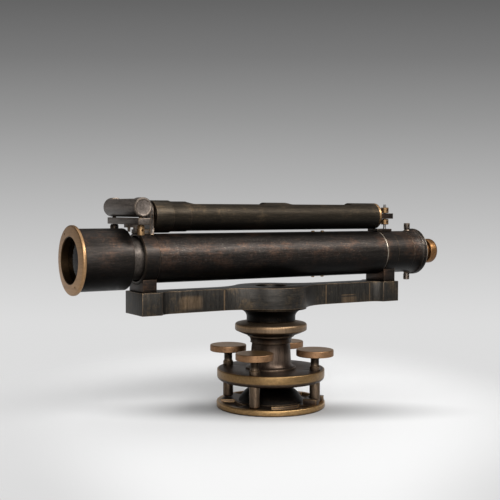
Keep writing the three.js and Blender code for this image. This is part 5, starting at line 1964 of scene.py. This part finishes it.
# Soft shade round the foot, and the paler pool of light in front of it
SHADE_REACH = 0.19
SHADE_DEPTH = 0.055
SHADE_FRONT = 0.02
SHADE_EDGE = (0.15, 1.0)
SHADE_SHARE = 0.54
POOL_HALF_WIDTH = 0.22
POOL_NARROWEST = 0.05
POOL_SPLAY = 0.3
POOL_FRONT = 0.08
POOL_DEPTH = 0.5
POOL_EDGE = (0.45, 1.05)
POOL_SHARE = 0.28
POOL_LIT = 0.04


def floor_material():
    """Pale floor under the object that melts into a grey backdrop."""
    graph = Graph("studio_floor")
    x, y, z = graph.split(graph.node("ShaderNodeTexCoord", {}, {}, "Object"))
    shaded, pool = floor_light(x, y)
    grain = graph.noise(graph.scale(graph.place(), (GRAIN_SCALE,) * 3), 1.0, 2.0, 0.5)
    pale = graph.mix(grain * GRAIN_SHARE, opaque(colours().floor), GRAIN_COLOUR)
    lit_tone = (1.0 - shaded) * (1.0 + pool * POOL_LIT)
    lit = graph.node("ShaderNodeBsdfPrincipled", {}, {
        "Base Color": graph.mix(1.0, pale, lit_tone, "MULTIPLY"),
        "Roughness": 0.75,
    })
    height = graph.node("ShaderNodeMapRange", {}, {"Value": z, 1: 0.0, 2: BACKDROP_TOP})
    ramp = graph.node("ShaderNodeValToRGB", {"stops": BACKDROP_TONES}, {"Fac": height})
    plain_tone = (1.0 - shaded) * (1.0 + pool * POOL_SHARE)
    plain = graph.node("ShaderNodeBsdfPrincipled", {}, {
        "Base Color": (0, 0, 0, 1),
        "Roughness": 1.0,
        "Specular IOR Level": 0.0,
        "Emission Color": graph.mix(1.0, ramp, plain_tone, "MULTIPLY"),
        "Emission Strength": 1.0,
    })
    factor = distance(x, y).smooth(*FLOOR_BLEND) * looked_at(graph)
    graph.output(graph.node("ShaderNodeMixShader", {}, {0: factor, 1: lit, 2: plain}))
    return graph.material


def floor_light(x, y):
    """How strong the shade and the pool of light are at a place on the floor."""
    across = x * math.cos(CAMERA_AZIMUTH) + y * math.sin(CAMERA_AZIMUTH)
    deep = y * math.cos(CAMERA_AZIMUTH) - x * math.sin(CAMERA_AZIMUTH) + SHADE_FRONT
    spread = distance(across * (1 / SHADE_REACH), deep * (1 / SHADE_DEPTH))
    shaded = (1.0 - spread.smooth(*SHADE_EDGE)) * SHADE_SHARE
    width = (deep * POOL_SPLAY + POOL_HALF_WIDTH).maths("MAXIMUM", POOL_NARROWEST)
    pool = distance(across / width, (deep + POOL_FRONT) * (1 / POOL_DEPTH))
    return shaded, 1.0 - pool.smooth(*POOL_EDGE)


def looked_at(graph):
    """1 for what the camera sees, also by way of a mirror or glass, and 0 for other light."""
    rays = graph.add("ShaderNodeLightPath", {}, {})
    kinds = ("Camera", "Glossy", "Transmission")
    return sum(Value(graph, rays.outputs[f"Is {kind} Ray"]) for kind in kinds).clamp()


def make_floor():
    """Floor and backdrop in one sweep, square to the camera's view."""
    section = [(-FLOOR_FRONT, 0.0), (-FLOOR_CREASE, 0.0), (0.0, 0.0)]
    for degrees in range(0, 91, 6):
        angle = math.radians(degrees)
        along = WALL_DISTANCE - SWEEP_RADIUS + SWEEP_RADIUS * math.sin(angle)
        section.append((along, SWEEP_RADIUS - SWEEP_RADIUS * math.cos(angle)))
    section.append((WALL_DISTANCE, WALL_HEIGHT))
    mesh_data = bmesh.new()
    left, right = [
        [mesh_data.verts.new((across, along, up)) for along, up in section]
        for across in (-FLOOR_HALF_WIDTH, FLOOR_HALF_WIDTH)]
    for index in range(len(section) - 1):
        mesh_data.faces.new((left[index], right[index], right[index + 1], left[index + 1]))
    floor = object_of("studio_sweep", mesh_data)
    floor.data.transform(Matrix.Rotation(CAMERA_AZIMUTH, 4, "Z"))
    smooth(floor, 60)
    floor.data.materials.append(floor_material())


def make_camera():
    data = bpy.data.cameras.new("studio_camera")
    data.lens = sizes().focal_length
    data.sensor_width = 36
    data.clip_start = 0.01
    camera = bpy.data.objects.new("studio_camera", data)
    bpy.context.scene.collection.objects.link(camera)
    turn = Matrix.Rotation(CAMERA_AZIMUTH, 4, "Z")
    tip = Matrix.Rotation(math.pi / 2 + CAMERA_PITCH, 4, "X")
    roll = Matrix.Rotation(CAMERA_ROLL, 4, "Z")
    camera.matrix_world = Matrix.Translation(CAMERA_PLACE) @ turn @ tip @ roll
    bpy.context.scene.camera = camera


def make_lamp(name, place, target, width, height, power):
    """A rectangular area lamp that is aimed at a target."""
    data = bpy.data.lights.new(name, "AREA")
    data.shape = "RECTANGLE"
    data.size = width
    data.size_y = height
    data.energy = power
    lamp = bpy.data.objects.new(name, data)
    bpy.context.scene.collection.objects.link(lamp)
    lamp.location = place
    aim = Vector(target) - Vector(place)
    lamp.rotation_euler = aim.to_track_quat("-Z", "Y").to_euler()


def make_lights():
    for lamp in LAMPS:
        make_lamp(*lamp)
    world = bpy.data.worlds.new("studio_world")
    world.use_nodes = True
    background = world.node_tree.nodes["Background"]
    background.inputs["Color"].default_value = WORLD_COLOUR
    background.inputs["Strength"].default_value = WORLD_STRENGTH
    bpy.context.scene.world = world
    bpy.context.scene.view_settings.view_transform = "Standard"


# Operators


class LEVEL_OT_lower_plate(bpy.types.Operator):
    """Lower plate with its pockets, socket cap, ball and stop block"""
    bl_idname = "level.lower_plate"
    bl_label = "Lower plate"

    def execute(self, context):
        make_lower_plate()
        make_socket_cap()
        make_half_ball()
        make_stop_block()
        return {"FINISHED"}


class LEVEL_OT_levelling_head(bpy.types.Operator):
    """Upper plate, column and bearing flange"""
    bl_idname = "level.levelling_head"
    bl_label = "Levelling head"

    def execute(self, context):
        make_upper_plate()
        make_column()
        make_flange()
        return {"FINISHED"}


class LEVEL_OT_levelling_screws(bpy.types.Operator):
    """The levelling screws with their milled heads"""
    bl_idname = "level.levelling_screws"
    bl_label = "Levelling screws"

    def execute(self, context):
        for index in range(SCREWS):
            make_levelling_screw(index)
        return {"FINISHED"}


class LEVEL_OT_stage_bar(bpy.types.Operator):
    """Stage bar, its neck and the spindle"""
    bl_idname = "level.stage_bar"
    bl_label = "Stage bar"

    def execute(self, context):
        make_stage_bar()
        make_limb_neck()
        make_spindle()
        return {"FINISHED"}


class LEVEL_OT_telescope(bpy.types.Operator):
    """Main tube with its collars, small screws and eye tube"""
    bl_idname = "level.telescope"
    bl_label = "Telescope tube"

    def execute(self, context):
        make_main_tube()
        make_left_collar()
        make_right_collar()
        make_eye_tube()
        for number in range(1, TUBE_SCREWS + 1):
            make_bush_screw(number)
        return {"FINISHED"}


class LEVEL_OT_eye_end(bpy.types.Operator):
    """Eye-end cap, reticle screws and eyepiece"""
    bl_idname = "level.eye_end"
    bl_label = "Eye end"

    def execute(self, context):
        make_eye_cap()
        make_reticle_screw("reticle_capstan_top", "reticle_screw_top", 1)
        make_reticle_screw("reticle_capstan_bottom", "reticle_screw_bottom", -1)
        make_eyepiece()
        make_eye_lenses()
        return {"FINISHED"}


class LEVEL_OT_objective(bpy.types.Operator):
    """Objective barrel, retaining ring, lenses and draw tube"""
    bl_idname = "level.objective"
    bl_label = "Objective"

    def execute(self, context):
        make_barrel()
        make_ring()
        make_objective_lenses()
        make_draw_tube()
        return {"FINISHED"}


class LEVEL_OT_focusing(bpy.types.Operator):
    """Pinion boss and focusing knob"""
    bl_idname = "level.focusing"
    bl_label = "Focusing"

    def execute(self, context):
        make_pinion_box()
        make_knob()
        return {"FINISHED"}


class LEVEL_OT_main_level(bpy.types.Operator):
    """Main level with its vial, hinge, stud and nuts"""
    bl_idname = "level.main_level"
    bl_label = "Main level"

    def execute(self, context):
        make_level_tube()
        make_level_plugs()
        make_vial()
        make_hinge_pin()
        make_stud_and_nuts()
        make_stud_bracket()
        return {"FINISHED"}


class LEVEL_OT_cross_level(bpy.types.Operator):
    """Cross level on its bar, with the bracket and its screws"""
    bl_idname = "level.cross_level"
    bl_label = "Cross level"

    def execute(self, context):
        make_level_bracket()
        make_cross_bar()
        make_cross_tube()
        make_cross_screw("cross_screw_near", "cross_near", 2.9, nut_brass())
        make_cross_screw("cross_screw_far", "carriage", 3.4, black_bronze("z"))
        return {"FINISHED"}


class LEVEL_OT_inner_pieces(bpy.types.Operator):
    """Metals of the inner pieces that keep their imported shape"""
    bl_idname = "level.inner_pieces"
    bl_label = "Inner pieces"

    def execute(self, context):
        dress_hidden_pieces()
        return {"FINISHED"}


class LEVEL_OT_studio(bpy.types.Operator):
    """Floor, backdrop, camera and lights"""
    bl_idname = "level.studio"
    bl_label = "Studio"

    def execute(self, context):
        make_floor()
        make_camera()
        make_lights()
        return {"FINISHED"}


OPERATORS = (
    LEVEL_OT_lower_plate,
    LEVEL_OT_levelling_head,
    LEVEL_OT_levelling_screws,
    LEVEL_OT_stage_bar,
    LEVEL_OT_telescope,
    LEVEL_OT_eye_end,
    LEVEL_OT_objective,
    LEVEL_OT_focusing,
    LEVEL_OT_main_level,
    LEVEL_OT_cross_level,
    LEVEL_OT_inner_pieces,
    LEVEL_OT_studio,
)


class LEVEL_PT_panel(bpy.types.Panel):
    """Lists the settings and the building steps"""
    bl_idname = "LEVEL_PT_panel"
    bl_label = "Dumpy level"
    bl_space_type = "VIEW_3D"
    bl_region_type = "UI"
    bl_category = "Level"

    def draw(self, context):
        layout = self.layout
        for group in (context.scene.level_sizes, context.scene.level_colours):
            for name in group.bl_rna.properties.keys():
                if name not in ("rna_type", "name"):
                    layout.prop(group, name)
        for operator in OPERATORS:
            layout.operator(operator.bl_idname)


CLASSES = (LevelColours, LevelSizes, *OPERATORS, LEVEL_PT_panel)


def register():
    for item in CLASSES:
        bpy.utils.register_class(item)
    bpy.types.Scene.level_colours = bpy.props.PointerProperty(type=LevelColours)
    bpy.types.Scene.level_sizes = bpy.props.PointerProperty(type=LevelSizes)


def unregister():
    del bpy.types.Scene.level_sizes
    del bpy.types.Scene.level_colours
    for item in reversed(CLASSES):
        bpy.utils.unregister_class(item)


def main():
    register()
    for operator in OPERATORS:
        group, name = operator.bl_idname.split(".")
        getattr(getattr(bpy.ops, group), name)()


if __name__ == "__main__":
    main()
